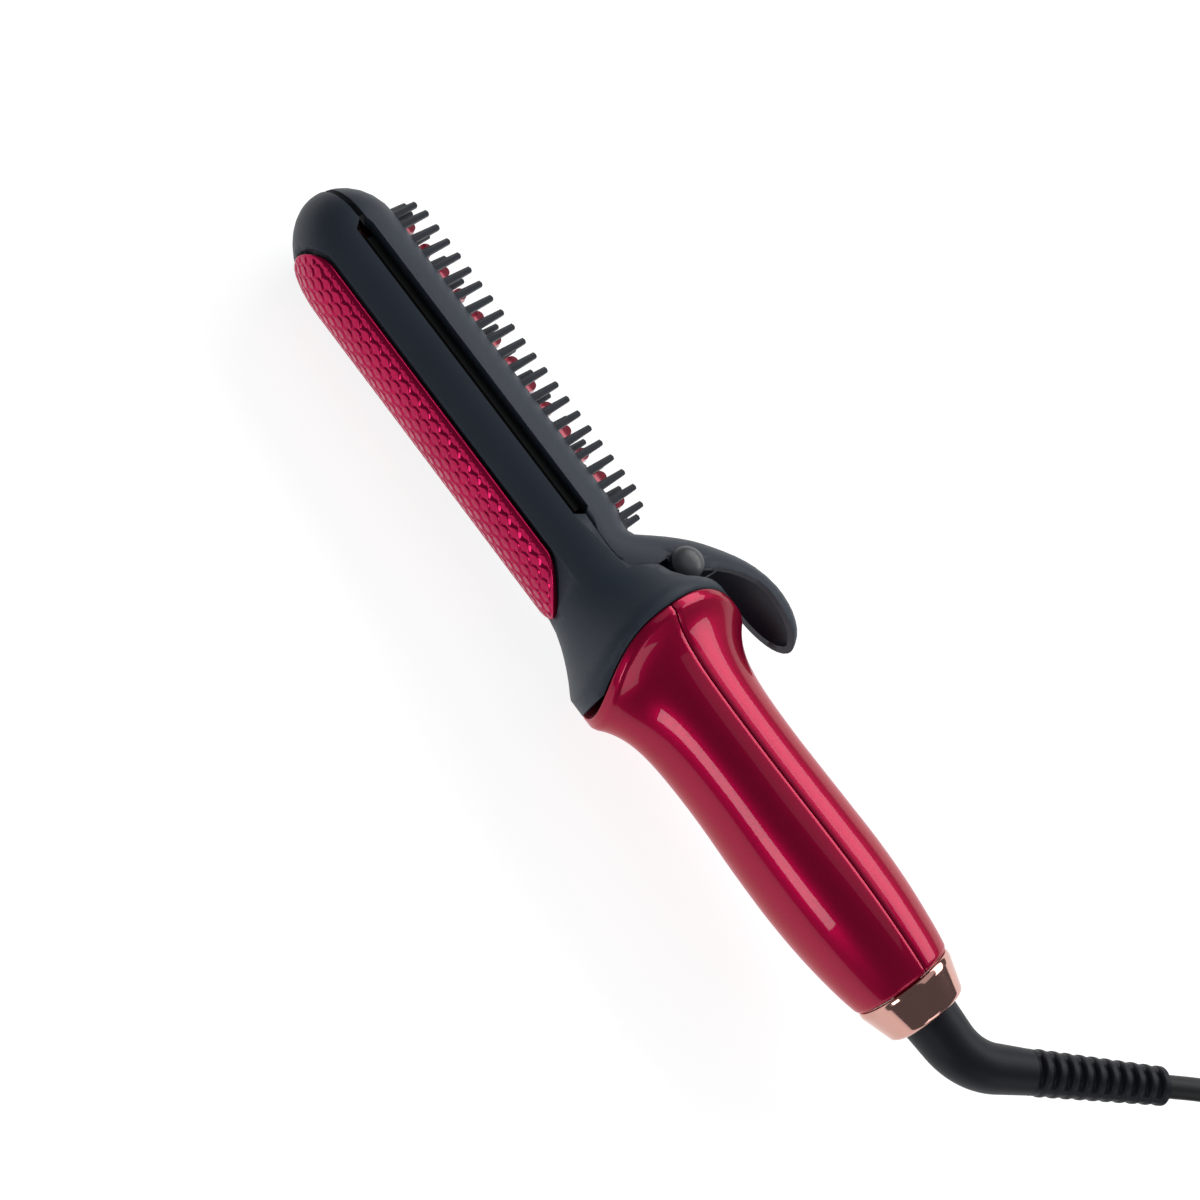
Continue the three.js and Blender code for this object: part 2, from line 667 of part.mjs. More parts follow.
function makeRing() {
  const start = handleEnd + gap;
  const big = 14.75;
  const outer = turned([
    [start, 0], [start, big - 0.5], [start + 0.9, big], [start + 8.4, 12.6], [ringEnd - 1.4, 12.1],
    [ringEnd - 0.3, ringSmallRadius], [ringEnd, ringSmallRadius - 0.8], [ringEnd, 0],
  ], 40);
  const inner = turned([
    [start - 1, 0], [start - 1, big - ringWall], [start + 0.9, big - ringWall],
    [flangeEnd + gap, 12.6 - ringWall], [flangeEnd + gap, bootRadius + gap],
    [ringEnd + 1, bootRadius + gap], [ringEnd + 1, 0],
  ], 28);
  return outer.subtract(inner);
}

const bendEnd = [
  bootBendStart + bootBendRadius * sin(bootBend), bootBendRadius * (1 - cos(bootBend)),
];
const reliefStart = [
  bendEnd[0] + bootPlain * cos(bootBend), bendEnd[1] + bootPlain * sin(bootBend),
];
const reliefEnd = [
  reliefStart[0] + reliefLength * cos(bootBend), reliefStart[1] + reliefLength * sin(bootBend),
];

// The elbow: a straight neck, the bend and the plain length before the ribs.
function makeElbow() {
  const arcLength = bootBendRadius * bootBend;
  const total = arcLength + bootPlain;
  const rows = [flangeEnd - 1, ringEnd + 1, bootBendStart, ...steps(0, arcLength, 7).slice(1)
    .map((d) => bootBendStart + d), bootBendStart + total];
  const last = rows.length + 1;
  const place = (across, along, target) => {
    const row = round(along * last);
    const distance = rows[min(max(row - 1, 0), rows.length - 1)];
    const bent = max(0, min(arcLength, distance - bootBendStart));
    const angle = bent / bootBendRadius;
    const straight = max(0, distance - bootBendStart - arcLength);
    const lead = min(distance, bootBendStart);
    const x = lead + bootBendRadius * sin(angle) + straight * cos(angle);
    const y = bootBendRadius * (1 - cos(angle)) + straight * sin(angle);
    const share = max(0, min(1, (distance - ringEnd) / (bootBendStart + total - ringEnd)));
    const edge = row === 0 || row === last ? 0 : bootRadius + (reliefRadius - bootRadius) * share;
    const turn = across % 1 * 2 * PI;
    target.set(x - edge * cos(turn) * sin(angle), y + edge * cos(turn) * cos(angle),
      edge * sin(turn));
  };
  return solid(new ParametricGeometry(place, 20, last));
}

// The ribbed strain relief, drawn along x and turned into line with the elbow.
function makeRelief() {
  const pitch = reliefLength / ribCount;
  const profile = [[-2, 0], [-2, reliefRadius - 0.4], [0, reliefRadius - 0.4]];
  for (let i = 0; i < ribCount; i += 1) {
    const start = i * pitch;
    const radius = reliefRadius + (reliefTipRadius - reliefRadius) * (i + 1) / ribCount;
    const core = radius - 1.7;
    profile.push([start, core], [start + pitch * 0.52, core], [start + pitch * 0.52, radius],
      [start + pitch, radius]);
  }
  profile.push([reliefLength, 0]);
  const ribs = turned(profile, 16);
  const webs = prism([[-1, -reliefRadius + 1], [-1, reliefRadius - 1],
    [reliefLength - 0.5, reliefTipRadius - 0.8], [reliefLength - 0.5, -reliefTipRadius + 0.8]], 3.4);
  return ribs.add(webs).rotate(0, 0, bootBend * 180 / PI).translate(reliefStart[0], reliefStart[1], 0);
}

function makeBoot() {
  const spindle = turned([
    [spindleStart, 0], [spindleStart, spindleRadius - 1], [flangeStart, spindleRadius - 1],
    [flangeStart, flangeRadius], [flangeEnd, flangeRadius], [flangeEnd, 0],
  ], 32);
  return spindle.add(makeElbow()).add(makeRelief());
}

function makeSlipRing(x) {
  const inner = spindleRadius - 1 + gap;
  const ring = turned([[x, 0], [x, spindleRadius + 0.7], [x + 3, spindleRadius + 0.7], [x + 3, 0]], 20);
  return ring.subtract(turned([[x - 1, 0], [x - 1, inner], [x + 4, inner], [x + 4, 0]], 20));
}

function makeBrush(x, side) {
  const touch = spindleRadius + 0.7 + gap;
  return box(x - 12, x + 2.4, side > 0 ? touch : -touch - 0.8, side > 0 ? touch + 0.8 : -touch, -2, 2);
}

function makeLead(z) {
  return tube([[190, 3.5, z], [180, 2.5, z * 0.9], [160, 0.5, z * 0.6], [140, -2, z * 0.5],
    [slotEnd + 1, -4.4, z * 0.4]], 0.9, 6, 14);
}

// ---- resting on its side -------------------------------------------------------------------
// The nose and the collar touch the table; the touching points are this far apart.
const restPitch = Math.atan2(collarRadius - barrelRadius, collarBand - noseSide);

// ---- cord ----------------------------------------------------------------------------------
// The lead comes down beside a tied coil that lies on the table beyond the tool's end, and the
// tail rises from the top turns to the plug, which lies on the coil. Sizes here are from the
// middle of the coil, with z up from the table.
const coilBeyond = 86.9;      // from the end of the tool to the coil's middle
const coilAside = 34;
const coilLift = 1.6;         // the tie passes under the turns
const coilTop = coilLift + coilHeight;
const leadStraight = 14;
const leadRoute = [
  [-70.8, 19.5, 36.7], [-58.9, 27.8, 32.9], [-46, 34.6, 28], [-32.4, 39.8, 23.2],
  [-18.2, 43.6, 19.6], [-5.6, 45.7, 18.2],
];
const plugHeight = 13.7;
const plugWidth = 27;
const plugLength = 30;
const plugRelief = 20;
const plugPinRadius = 2;
const plugPinSpread = 18.6;
const plugPinLength = 19;
const plugMiddle = coilTop + gap + plugHeight / 2;
const tailBend = 25.6;        // the tail's bend, whose middle is a little beyond the coil's
const tailBendMiddle = 6.4;

// The tail lies on the coil and climbs to the plug as it turns; angles in degrees.
const tailRoute = [[75, 25.1], [55, 25.6], [35, 26.8], [17, 28.3], [1.6, plugMiddle]].map(([turn, z]) => [
  tailBend * cos(turn * PI / 180), tailBendMiddle + tailBend * sin(turn * PI / 180), z,
]);

function makeCoil() {
  const halfWide = coilHalfWidth;
  const corner = 5;
  const low = coilLift;
  const high = coilTop;
  const section = [
    [coilRadius - halfWide + corner, low], [coilRadius + halfWide - corner, low],
    [coilRadius + halfWide, low + corner], [coilRadius + halfWide, high - corner],
    [coilRadius + halfWide - corner, high], [coilRadius - halfWide + corner, high],
    [coilRadius - halfWide, high - corner], [coilRadius - halfWide, low + corner],
    [coilRadius - halfWide + corner, low],
  ];
  const geometry = new THREE.LatheGeometry(points(section), 32);
  return solid(geometry.rotateX(PI / 2));
}

function makeTie() {
  const outside = coilHalfWidth + 2;
  const band = box(-5, 5, -coilRadius - outside, -coilRadius + outside, 0.2, coilTop + gap + 1);
  const room = box(-9, 9, -coilRadius - outside + 1, -coilRadius + outside - 1, 1.2, coilTop + gap);
  return band.subtract(room);
}

function makePlug() {
  const half = plugWidth / 2;
  const shape = new THREE.Shape();
  shape.moveTo(0, -half);
  shape.lineTo(plugLength * 0.55, -half);
  shape.quadraticCurveTo(plugLength * 0.9, -half, plugLength, -cordRadius - 2);
  shape.lineTo(plugLength, cordRadius + 2);
  shape.quadraticCurveTo(plugLength * 0.9, half, plugLength * 0.55, half);
  shape.lineTo(0, half);
  const geometry = new THREE.ExtrudeGeometry(shape, {
    depth: plugHeight - 2, bevelEnabled: true, bevelThickness: 1, bevelSize: 1, bevelOffset: -1,
    bevelSegments: 2, curveSegments: 6,
  });
  const block = solid(geometry.translate(0, 0, -plugHeight / 2 + 1));
  const relief = turned([[plugLength - 2, 0], [plugLength - 2, 5.2],
    [plugLength + plugRelief, cordRadius + 1], [plugLength + plugRelief, 0]], 20);
  return block.add(relief);
}

function makePlugPin(side) {
  const pin = turned([[-plugPinLength, 0], [-plugPinLength + 1, plugPinRadius - 0.5],
    [-plugPinLength + 2, plugPinRadius], [-gap, plugPinRadius], [-gap, 0]], 16);
  return pin.translate(0, side * plugPinSpread / 2, 0);
}

// ---- the scene -----------------------------------------------------------------------------
function finish(name, colour, roughness, metalness) {
  return new THREE.MeshStandardMaterial({ name, color: colour, roughness, metalness });
}

const blackPlastic = finish('black_plastic', 0x353b42, 0.55, 0);
const blackHead = finish('pin_head_plastic', 0x4a5056, 0.45, 0);
const candyRed = finish('candy_red_shell', 0x9b0a2c, 0.22, 0.35);
const scaleRed = finish('scaled_red_plate', 0xa8123c, 0.3, 0.7);
const plateRed = finish('red_plate', 0x6e0a20, 0.35, 0.7);
const roseGold = finish('rose_gold', 0xbe8278, 0.08, 1);
const aluminium = finish('aluminium', 0xb9bcc0, 0.4, 1);
const ceramic = finish('heater_ceramic', 0xd9d4c8, 0.7, 0);
const steel = finish('steel', 0x9a9ea3, 0.3, 1);
const brass = finish('brass', 0xb6924a, 0.3, 1);
const board = finish('board_green', 0x1f5a34, 0.6, 0);
const switchBlack = finish('switch_black', 0x202326, 0.5, 0);
const rubber = finish('boot_black', 0x22262b, 0.7, 0);
const cordBlack = finish('cord_black', 0x1d2024, 0.6, 0);
const tieBlack = finish('tie_black', 0x17181a, 0.9, 0);
const leadInsulation = finish('lead_insulation', 0xe8e6e0, 0.6, 0);

function piece(group, name, made, material) {
  const mesh = new THREE.Mesh(surface(made), material);
  mesh.name = name;
  group.add(mesh);
}

const part = new THREE.Group();
const tool = new THREE.Group();
part.add(tool);

piece(tool, 'barrel_housing', makeHousing(), blackPlastic);
piece(tool, 'curling_plate', makeCurlingPlate(), scaleRed);
piece(tool, 'barrel_core', makeCore(), aluminium);
piece(tool, 'lower_heater', makeHeater(lowerHeaterY), ceramic);
piece(tool, 'lower_straightening_plate', makeStraightPlate(-1), plateRed);
piece(tool, 'clamp_arm', makeArm(), blackPlastic);
piece(tool, 'upper_straightening_plate', makeStraightPlate(1), plateRed);
piece(tool, 'comb_heat_plate', makeCombPlate(), plateRed);
piece(tool, 'upper_heater', makeHeater(upperHeaterY), ceramic);
piece(tool, 'comb_cover', makeComb(), blackPlastic);
piece(tool, 'hinge_pin', makePin(), steel);
piece(tool, 'hinge_pin_head_near', makePinHead(1), blackHead);
piece(tool, 'hinge_pin_head_far', makePinHead(-1), blackHead);
piece(tool, 'clamp_spring', makeSpring(), steel);
piece(tool, 'handle_shell_upper', makeShell(1), candyRed);
piece(tool, 'handle_shell_lower', makeShell(-1), candyRed);
piece(tool, 'switch_slider', makeSlider(), switchBlack);
piece(tool, 'switch_body', makeSwitchBody(), switchBlack);
piece(tool, 'circuit_board', makeBoard(), board);
piece(tool, 'heater_lead_live', makeLead(3), leadInsulation);
piece(tool, 'heater_lead_neutral', makeLead(-3), leadInsulation);
piece(tool, 'contact_brush_live', makeBrush(spindleStart + 3, 1), brass);
piece(tool, 'contact_brush_neutral', makeBrush(spindleStart + 10, -1), brass);
piece(tool, 'slip_ring_live', makeSlipRing(spindleStart + 2), brass);
piece(tool, 'slip_ring_neutral', makeSlipRing(spindleStart + 9), brass);
piece(tool, 'end_ring', makeRing(), roseGold);
piece(tool, 'cord_boot', makeBoot(), rubber);

// Lay the tool on its side: nose and collar touch the table, and the frame's origin is under
// the middle of the tool.
tool.rotation.y = -restPitch;
part.updateMatrixWorld(true);
const reach = new THREE.Box3().setFromObject(tool, true);
tool.position.set(-(reach.min.x + reach.max.x) / 2, -(reach.min.y + reach.max.y) / 2, -reach.min.z);

const coilMiddle = [(reach.max.x - reach.min.x) / 2 + coilBeyond, coilAside];
const leadPoint = (beyond) => tool.localToWorld(new THREE.Vector3(
  reliefEnd[0] + beyond * cos(bootBend), reliefEnd[1] + beyond * sin(bootBend), 0)).toArray();
part.updateMatrixWorld(true);
const cordRoute = [
  leadPoint(gap), leadPoint(leadStraight),
  ...leadRoute.map(([x, y, z]) => [coilMiddle[0] + x, coilMiddle[1] + y, z]),
];
piece(part, 'cord_lead', tube(cordRoute, cordRadius, 12, 8), cordBlack);

const stored = new THREE.Group();
stored.position.set(...coilMiddle, 0);
part.add(stored);
piece(stored, 'cord_coil', makeCoil(), cordBlack);
piece(stored, 'cord_tie', makeTie(), tieBlack);
piece(stored, 'cord_tail', tube(tailRoute, cordRadius, 12, 6), cordBlack);

const plug = new THREE.Group();
plug.rotation.z = PI / 2;
plug.position.set(tailBend, tailBendMiddle - plugRelief - plugLength, plugMiddle);
stored.add(plug);
piece(plug, 'plug_body', makePlug(), cordBlack);
piece(plug, 'plug_pin_live', makePlugPin(1), brass);
piece(plug, 'plug_pin_neutral', makePlugPin(-1), brass);

export default part;
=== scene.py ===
"""Finished look of a heated hair-styling brush, laid on its side on a pale table."""
import json
import math
import bmesh
import bpy
import numpy as np
from mathutils import Matrix, Vector


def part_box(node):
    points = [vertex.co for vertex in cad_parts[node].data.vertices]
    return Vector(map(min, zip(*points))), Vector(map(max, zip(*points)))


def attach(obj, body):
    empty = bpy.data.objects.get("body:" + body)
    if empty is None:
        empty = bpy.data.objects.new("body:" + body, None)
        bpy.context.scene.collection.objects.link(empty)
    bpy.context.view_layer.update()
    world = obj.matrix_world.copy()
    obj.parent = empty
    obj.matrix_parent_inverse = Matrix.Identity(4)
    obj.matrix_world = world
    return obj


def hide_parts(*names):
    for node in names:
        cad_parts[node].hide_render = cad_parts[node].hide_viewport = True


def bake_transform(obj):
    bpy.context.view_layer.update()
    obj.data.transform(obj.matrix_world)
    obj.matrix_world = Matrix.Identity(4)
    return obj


bl_info = {
    "name": "Heated styling brush",
    "version": (1, 0, 0),
    "blender": (4, 5, 0),
    "location": "3D View > Sidebar > Brush",
    "description": "Builds the finished surfaces of a heated hair-styling brush",
    "category": "Add Mesh",
}

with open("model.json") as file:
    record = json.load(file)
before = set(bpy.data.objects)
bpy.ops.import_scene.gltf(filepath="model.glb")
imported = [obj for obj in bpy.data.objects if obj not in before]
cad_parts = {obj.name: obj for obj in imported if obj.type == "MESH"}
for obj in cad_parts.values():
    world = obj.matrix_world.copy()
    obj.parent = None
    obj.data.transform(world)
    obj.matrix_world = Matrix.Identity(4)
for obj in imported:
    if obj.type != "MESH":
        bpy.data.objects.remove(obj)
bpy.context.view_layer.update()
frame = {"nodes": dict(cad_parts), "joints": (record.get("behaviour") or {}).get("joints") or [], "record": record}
JOINTS = {joint["name"]: joint for joint in frame["joints"]}

# ---- places --------------------------------------------------------------------------------
# The tool is described by three numbers in millimetres: x from the nose to the cord, y towards
# the lever and the teeth, z towards the visible pin head.
HINGE = (148.8, 18.6)
ALONG = np.array(JOINTS["cord_swivel"]["axis"], float)
ASIDE = np.array((0.0, 1.0, 0.0))
OUTWARD = -np.array(JOINTS["clamp_hinge"]["axis"], float)
HINGE_PLACE = np.array(JOINTS["clamp_hinge"]["pos_m"], float)
COIL_LOW, COIL_HIGH = (np.array(corner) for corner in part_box("cord_coil"))
COIL_MIDDLE = np.array(((COIL_LOW[0] + COIL_HIGH[0]) / 2, (COIL_LOW[1] + COIL_HIGH[1]) / 2, 0.0))


def placed(points):
    """Points of the tool in the row frame: hinge + (x - hinge x) along + (y - hinge y) aside + z outward."""
    points = np.asarray(points, float)
    return (HINGE_PLACE + (points[..., 0:1] - HINGE[0]) / 1000 * ALONG
            + (points[..., 1:2] - HINGE[1]) / 1000 * ASIDE + points[..., 2:3] / 1000 * OUTWARD)


def turned_to_row(vector):
    """A direction of the tool, as a direction in the row frame."""
    return vector[0] * ALONG + vector[1] * ASIDE + vector[2] * OUTWARD


# ---- sizes ---------------------------------------------------------------------------------
BARREL_RADIUS = 17.5
BARREL_END = 138.0
NOSE_SIDE = 17.6
NOSE_CHIN = 28.0
COLLAR_RADIUS = 26.1
COLLAR_SWEEP = 10.6
COLLAR_BAND = 153.9
COLLAR_EDGE = 156.5
BEZEL_EDGE = 159.3
HANDLE_END = 272.9
HANDLE_WALL = 2.2
RING_END = 284.4
BOOT_RADIUS = 8.2
BEND_START = 292.5
BEND_RADIUS = 19.0
BEND = math.radians(47.5)
BOOT_PLAIN = 10.2
RELIEF_LENGTH = 40.7
RELIEF_RADIUS = 6.4
RELIEF_TIP = 5.3
RIB_COUNT = 10
CORD_RADIUS = 3.2
PLATE_START = 13.5
PLATE_END = 139.2
PLATE_HALF = 12.5
GRIP_TOP = ((150, 17.6), (190, 17.5), (206, 17.5), (226, 17.8), (242, 17.9), (253, 17.4),
            (263, 16.4), (268.5, 15.7), (276, 14.3))
GRIP_BELLY = ((150, 18.1), (190, 18.1), (206, 18.2), (226, 18.9), (240, 18.9), (252, 18.2),
              (262.7, 16.9), (268, 16.0), (276, 14.1))

# The parting line of the clamp arm and the neck, behind the slot.
HEEL_SEAM = (
    (121.6, 0.95), (124.0, 0.8), (127.0, 0.65), (130.0, 0.55), (132.5, 0.4), (135.0, 0.35), (137.2, 0.6),
    (139.3, 1.05), (140.5, 1.6), (141.4, 2.6), (142.4, 4.3), (143.4, 6.2), (144.4, 8.0), (144.95, 9.2),
    (145.0, 11.0), (145.0, 13.0),
)


# ---- forms ---------------------------------------------------------------------------------
def eased(knots, x):
    """Smooth curve through [place, value] knots: cubic pieces, each knot's slope the mean of its neighbours'."""
    places, values = np.array(knots, float).T
    slopes = np.gradient(values, places)
    x = np.clip(x, places[0], places[-1])
    k = np.clip(np.searchsorted(places, x, side="right") - 1, 0, len(places) - 2)
    width = places[k + 1] - places[k]
    t = (x - places[k]) / width
    return ((2 * t**3 - 3 * t**2 + 1) * values[k] + (t**3 - 2 * t**2 + t) * width * slopes[k]
            + (3 * t**2 - 2 * t**3) * values[k + 1] + (t**3 - t**2) * width * slopes[k + 1])


def rounded(x, length):
    """Quarter ellipse: 0 at x = 0, rising to 1 at x = length."""
    left = np.clip(1 - np.maximum(x, 0) / length, 0, 1)
    return np.sqrt(1 - left**2)


def swept(start, y, more=0.0):
    """Saddle edge: start + sweep times |y / collar radius| to the power 2.8."""
    return start + (COLLAR_SWEEP + more) * np.minimum(1, np.abs(y) / COLLAR_RADIUS) ** 2.8


def grip_radius(x, angle, inset=0.0):
    """Handle: a blend of its top and belly radii by angle, plus a flare that dies away behind the bezel."""
    up = (1 + np.cos(angle)) / 2
    grip = eased(GRIP_TOP, x) * up + eased(GRIP_BELLY, x) * (1 - up)
    behind = np.maximum(0, x - swept(BEZEL_EDGE, COLLAR_RADIUS * np.cos(angle), 1.1))
    return grip + (COLLAR_RADIUS - grip) * np.exp(-behind / 8) - inset


def lower_radius(x, angle):
    """Lower shell: the barrel with its side and chin roundings, then the neck's flare out to the collar."""
    side = BARREL_RADIUS * rounded(x, NOSE_SIDE)
    chin = BARREL_RADIUS * rounded(x, NOSE_CHIN)
    down = np.maximum(0, -np.cos(angle))
    r = side * chin / np.sqrt((side * down) ** 2 + chin**2 * (1 - down**2) + 1e-9)
    band = swept(COLLAR_BAND, COLLAR_RADIUS * np.cos(angle), -3.4)
    flare = np.clip((x - BARREL_END) / (band - BARREL_END), 0, 1)
    return r + (COLLAR_RADIUS - BARREL_RADIUS) * flare**1.5


def boot_line(distance):
    """Boot's middle line: straight, an arc about a point beside it, straight again; with its direction and normal."""
    arc = BEND_RADIUS * BEND
    bent = np.clip(distance - BEND_START, 0, arc)
    angle = bent / BEND_RADIUS
    straight = np.maximum(0, distance - BEND_START - arc)
    lead = np.minimum(distance, BEND_START)
    x = lead + BEND_RADIUS * np.sin(angle) + straight * np.cos(angle)
    y = BEND_RADIUS * (1 - np.cos(angle)) + straight * np.sin(angle)
    return x, y, angle


# ---- meshes --------------------------------------------------------------------------------
def grid_faces(rows, columns, closed, offset=0):
    """Quads of a rows by columns grid, joined round when closed."""
    i = np.arange(rows - 1)[:, None]
    j = np.arange(columns if closed else columns - 1)[None, :]
    k = (j + 1) % columns
    a, b = i * columns + j, i * columns + k
    return np.stack((a, b, b + columns, a + columns), -1).reshape(-1, 4) + offset


class Shape:
    """A mesh gathered from grids and fans, in the row frame, in metres."""

    def __init__(self):
        self.points = []
        self.faces = []
        self.marks = []
        self.count = 0

    def grid(self, points, closed=True, caps=(True, True), flip=False, marks=None):
        """One surface: points[row, column] in metres; a cap closes an end row with a fan about its middle."""
        rows, columns, _ = points.shape
        faces = grid_faces(rows, columns, closed, self.count)
        made = [faces]
        flat = [points.reshape(-1, 3)]
        uv = np.zeros((rows * columns, 2)) if marks is None else marks.reshape(-1, 2)
        uvs = [uv]
        total = rows * columns
        for end, row in ((0, 0), (1, rows - 1)):
            if closed and caps[end]:
                j = np.arange(columns)
                ring = self.count + row * columns + j
                following = self.count + row * columns + (j + 1) % columns
                hub = np.full(columns, self.count + total)
                order = (following, ring, hub) if end == 0 else (ring, following, hub)
                made.append(np.stack(order, -1))
                flat.append(points[row].mean(0)[None])
                uvs.append(uv[row * columns][None])
                total += 1
        for block in made:
            self.faces.append(block[:, ::-1] if flip else block)
        self.points.extend(flat)
        self.marks.extend(uvs)
        self.count += total
        return self

    def mesh(self, name, smooth=True, sharp=40.0):
        """The gathered surfaces as one Blender mesh."""
        mesh = bpy.data.meshes.new(name)
        points = np.concatenate(self.points)
        faces = [face for block in self.faces for face in block.tolist()]
        mesh.from_pydata(points.tolist(), [], faces)
        corners = np.zeros(len(mesh.loops), np.int32)
        mesh.loops.foreach_get("vertex_index", corners)
        layer = mesh.uv_layers.new(name="Along")
        layer.data.foreach_set("uv", np.concatenate(self.marks)[corners].astype(np.float32).ravel())
        mesh.shade_smooth()
        if smooth:
            mesh.set_sharp_from_angle(angle=math.radians(sharp))
        mesh.validate()
        return mesh


def finished(name, mesh, material, body, replaces=(), bevel=0.0):
    """Puts a mesh into the scene as a piece of one body, with its finish and a small edge rounding."""
    piece = bpy.data.objects.new(name, mesh)
    bpy.context.scene.collection.objects.link(piece)
    mesh.materials.clear()
    mesh.materials.append(material)
    if bevel:
        rounding = piece.modifiers.new("edge rounding", "BEVEL")
        rounding.width = bevel / 1000
        rounding.segments = 2
        rounding.limit_method = "ANGLE"
        rounding.angle_limit = math.radians(40)
        rounding.harden_normals = True
    if body:
        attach(piece, body)
    if replaces:
        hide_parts(*replaces)
    return piece


def smooth_copy(node, material, body, angle=32.0):
    """The CAD solid's own shape with its loose triangles joined and its curved faces shaded smooth."""
    mesh = frame["nodes"][node].data.copy()
    mesh.name = node + "_finished"
    work = bmesh.new()
    work.from_mesh(mesh)
    bmesh.ops.remove_doubles(work, verts=work.verts, dist=1e-6)
    bmesh.ops.dissolve_limit(work, angle_limit=math.radians(0.4), verts=work.verts, edges=work.edges)
    bmesh.ops.triangulate(work, faces=[face for face in work.faces if len(face.verts) > 4])
    work.to_mesh(mesh)
    work.free()
    mesh.shade_smooth()
    mesh.set_sharp_from_angle(angle=math.radians(angle))
    return finished(node + "_finished", mesh, material, body, (node,))


def cut_away(piece, cutter):
    """Takes the cutter's volume out of the piece for good and deletes the cutter."""
    cut = piece.modifiers.new("cut", "BOOLEAN")
    cut.operation = "DIFFERENCE"
    cut.solver = "EXACT"
    # The cut walls take the cutter's material, so the heel seam cutter leaves its near-black painted shade on them.
    cut.material_mode = "TRANSFER"
    cut.object = cutter
    bpy.context.view_layer.update()
    graph = bpy.context.evaluated_depsgraph_get()
    mesh = bpy.data.meshes.new_from_object(piece.evaluated_get(graph))
    piece.modifiers.remove(cut)
    old = piece.data
    piece.data = mesh
    bpy.data.meshes.remove(old)
    bpy.data.objects.remove(cutter)


def seam_cutter():
    """Heel seam: a wall of even thickness along the parting line, carried straight through the neck; its near-black
    material is left on the cut walls as painted shade.
    """
    line = np.array(HEEL_SEAM)
    step = np.gradient(line, axis=0)
    step /= np.linalg.norm(step, axis=1)[:, None]
    side = np.stack((-step[:, 1], step[:, 0]), -1) * settings().seam_width * 500
    corners = ((1, -40.0), (1, 40.0), (-1, 40.0), (-1, -40.0))
    wall = np.stack([np.column_stack((line + k * side, np.full(len(line), depth))) for k, depth in corners], 1)
    return finished("seam_cutter", joined(Shape().grid(placed(wall)).mesh("seam")), slot_and_seam_painted_shade(), "body")


def lathe(profile, around, turn_axis="x", centre=(0, 0, 0)):
    """Surface of turning: each [place, radius] of the profile swept round the axis."""
    profile = np.array(profile, float)
    angle = np.linspace(0, 2 * math.pi, around, endpoint=False)[None, :]
    place, radius = profile[:, 0:1], profile[:, 1:2]
    flat = np.broadcast_to(place, (len(profile), around))
    one, two = radius * np.cos(angle), radius * np.sin(angle)
    order = {"x": (flat, one, two), "y": (two, flat, one), "z": (one, two, flat)}[turn_axis]
    return np.stack(order, -1) + np.array(centre, float)


def tube_along(path, radius, around):
    """Round tube: at each point of the path a circle in the plane across it, its first spoke level."""
    path = np.asarray(path, float)
    ahead = np.gradient(path, axis=0)
    ahead /= np.linalg.norm(ahead, axis=1, keepdims=True)
    level = np.cross(ahead, (0, 0, 1.0))
    level /= np.linalg.norm(level, axis=1, keepdims=True)
    rise = np.cross(level, ahead)
    angle = np.linspace(0, 2 * math.pi, around, endpoint=False)[None, :, None]
    radius = np.broadcast_to(np.asarray(radius, float), (len(path),))[:, None, None]
    return path[:, None, :] + radius * (np.cos(angle) * level[:, None, :] + np.sin(angle) * rise[:, None, :])


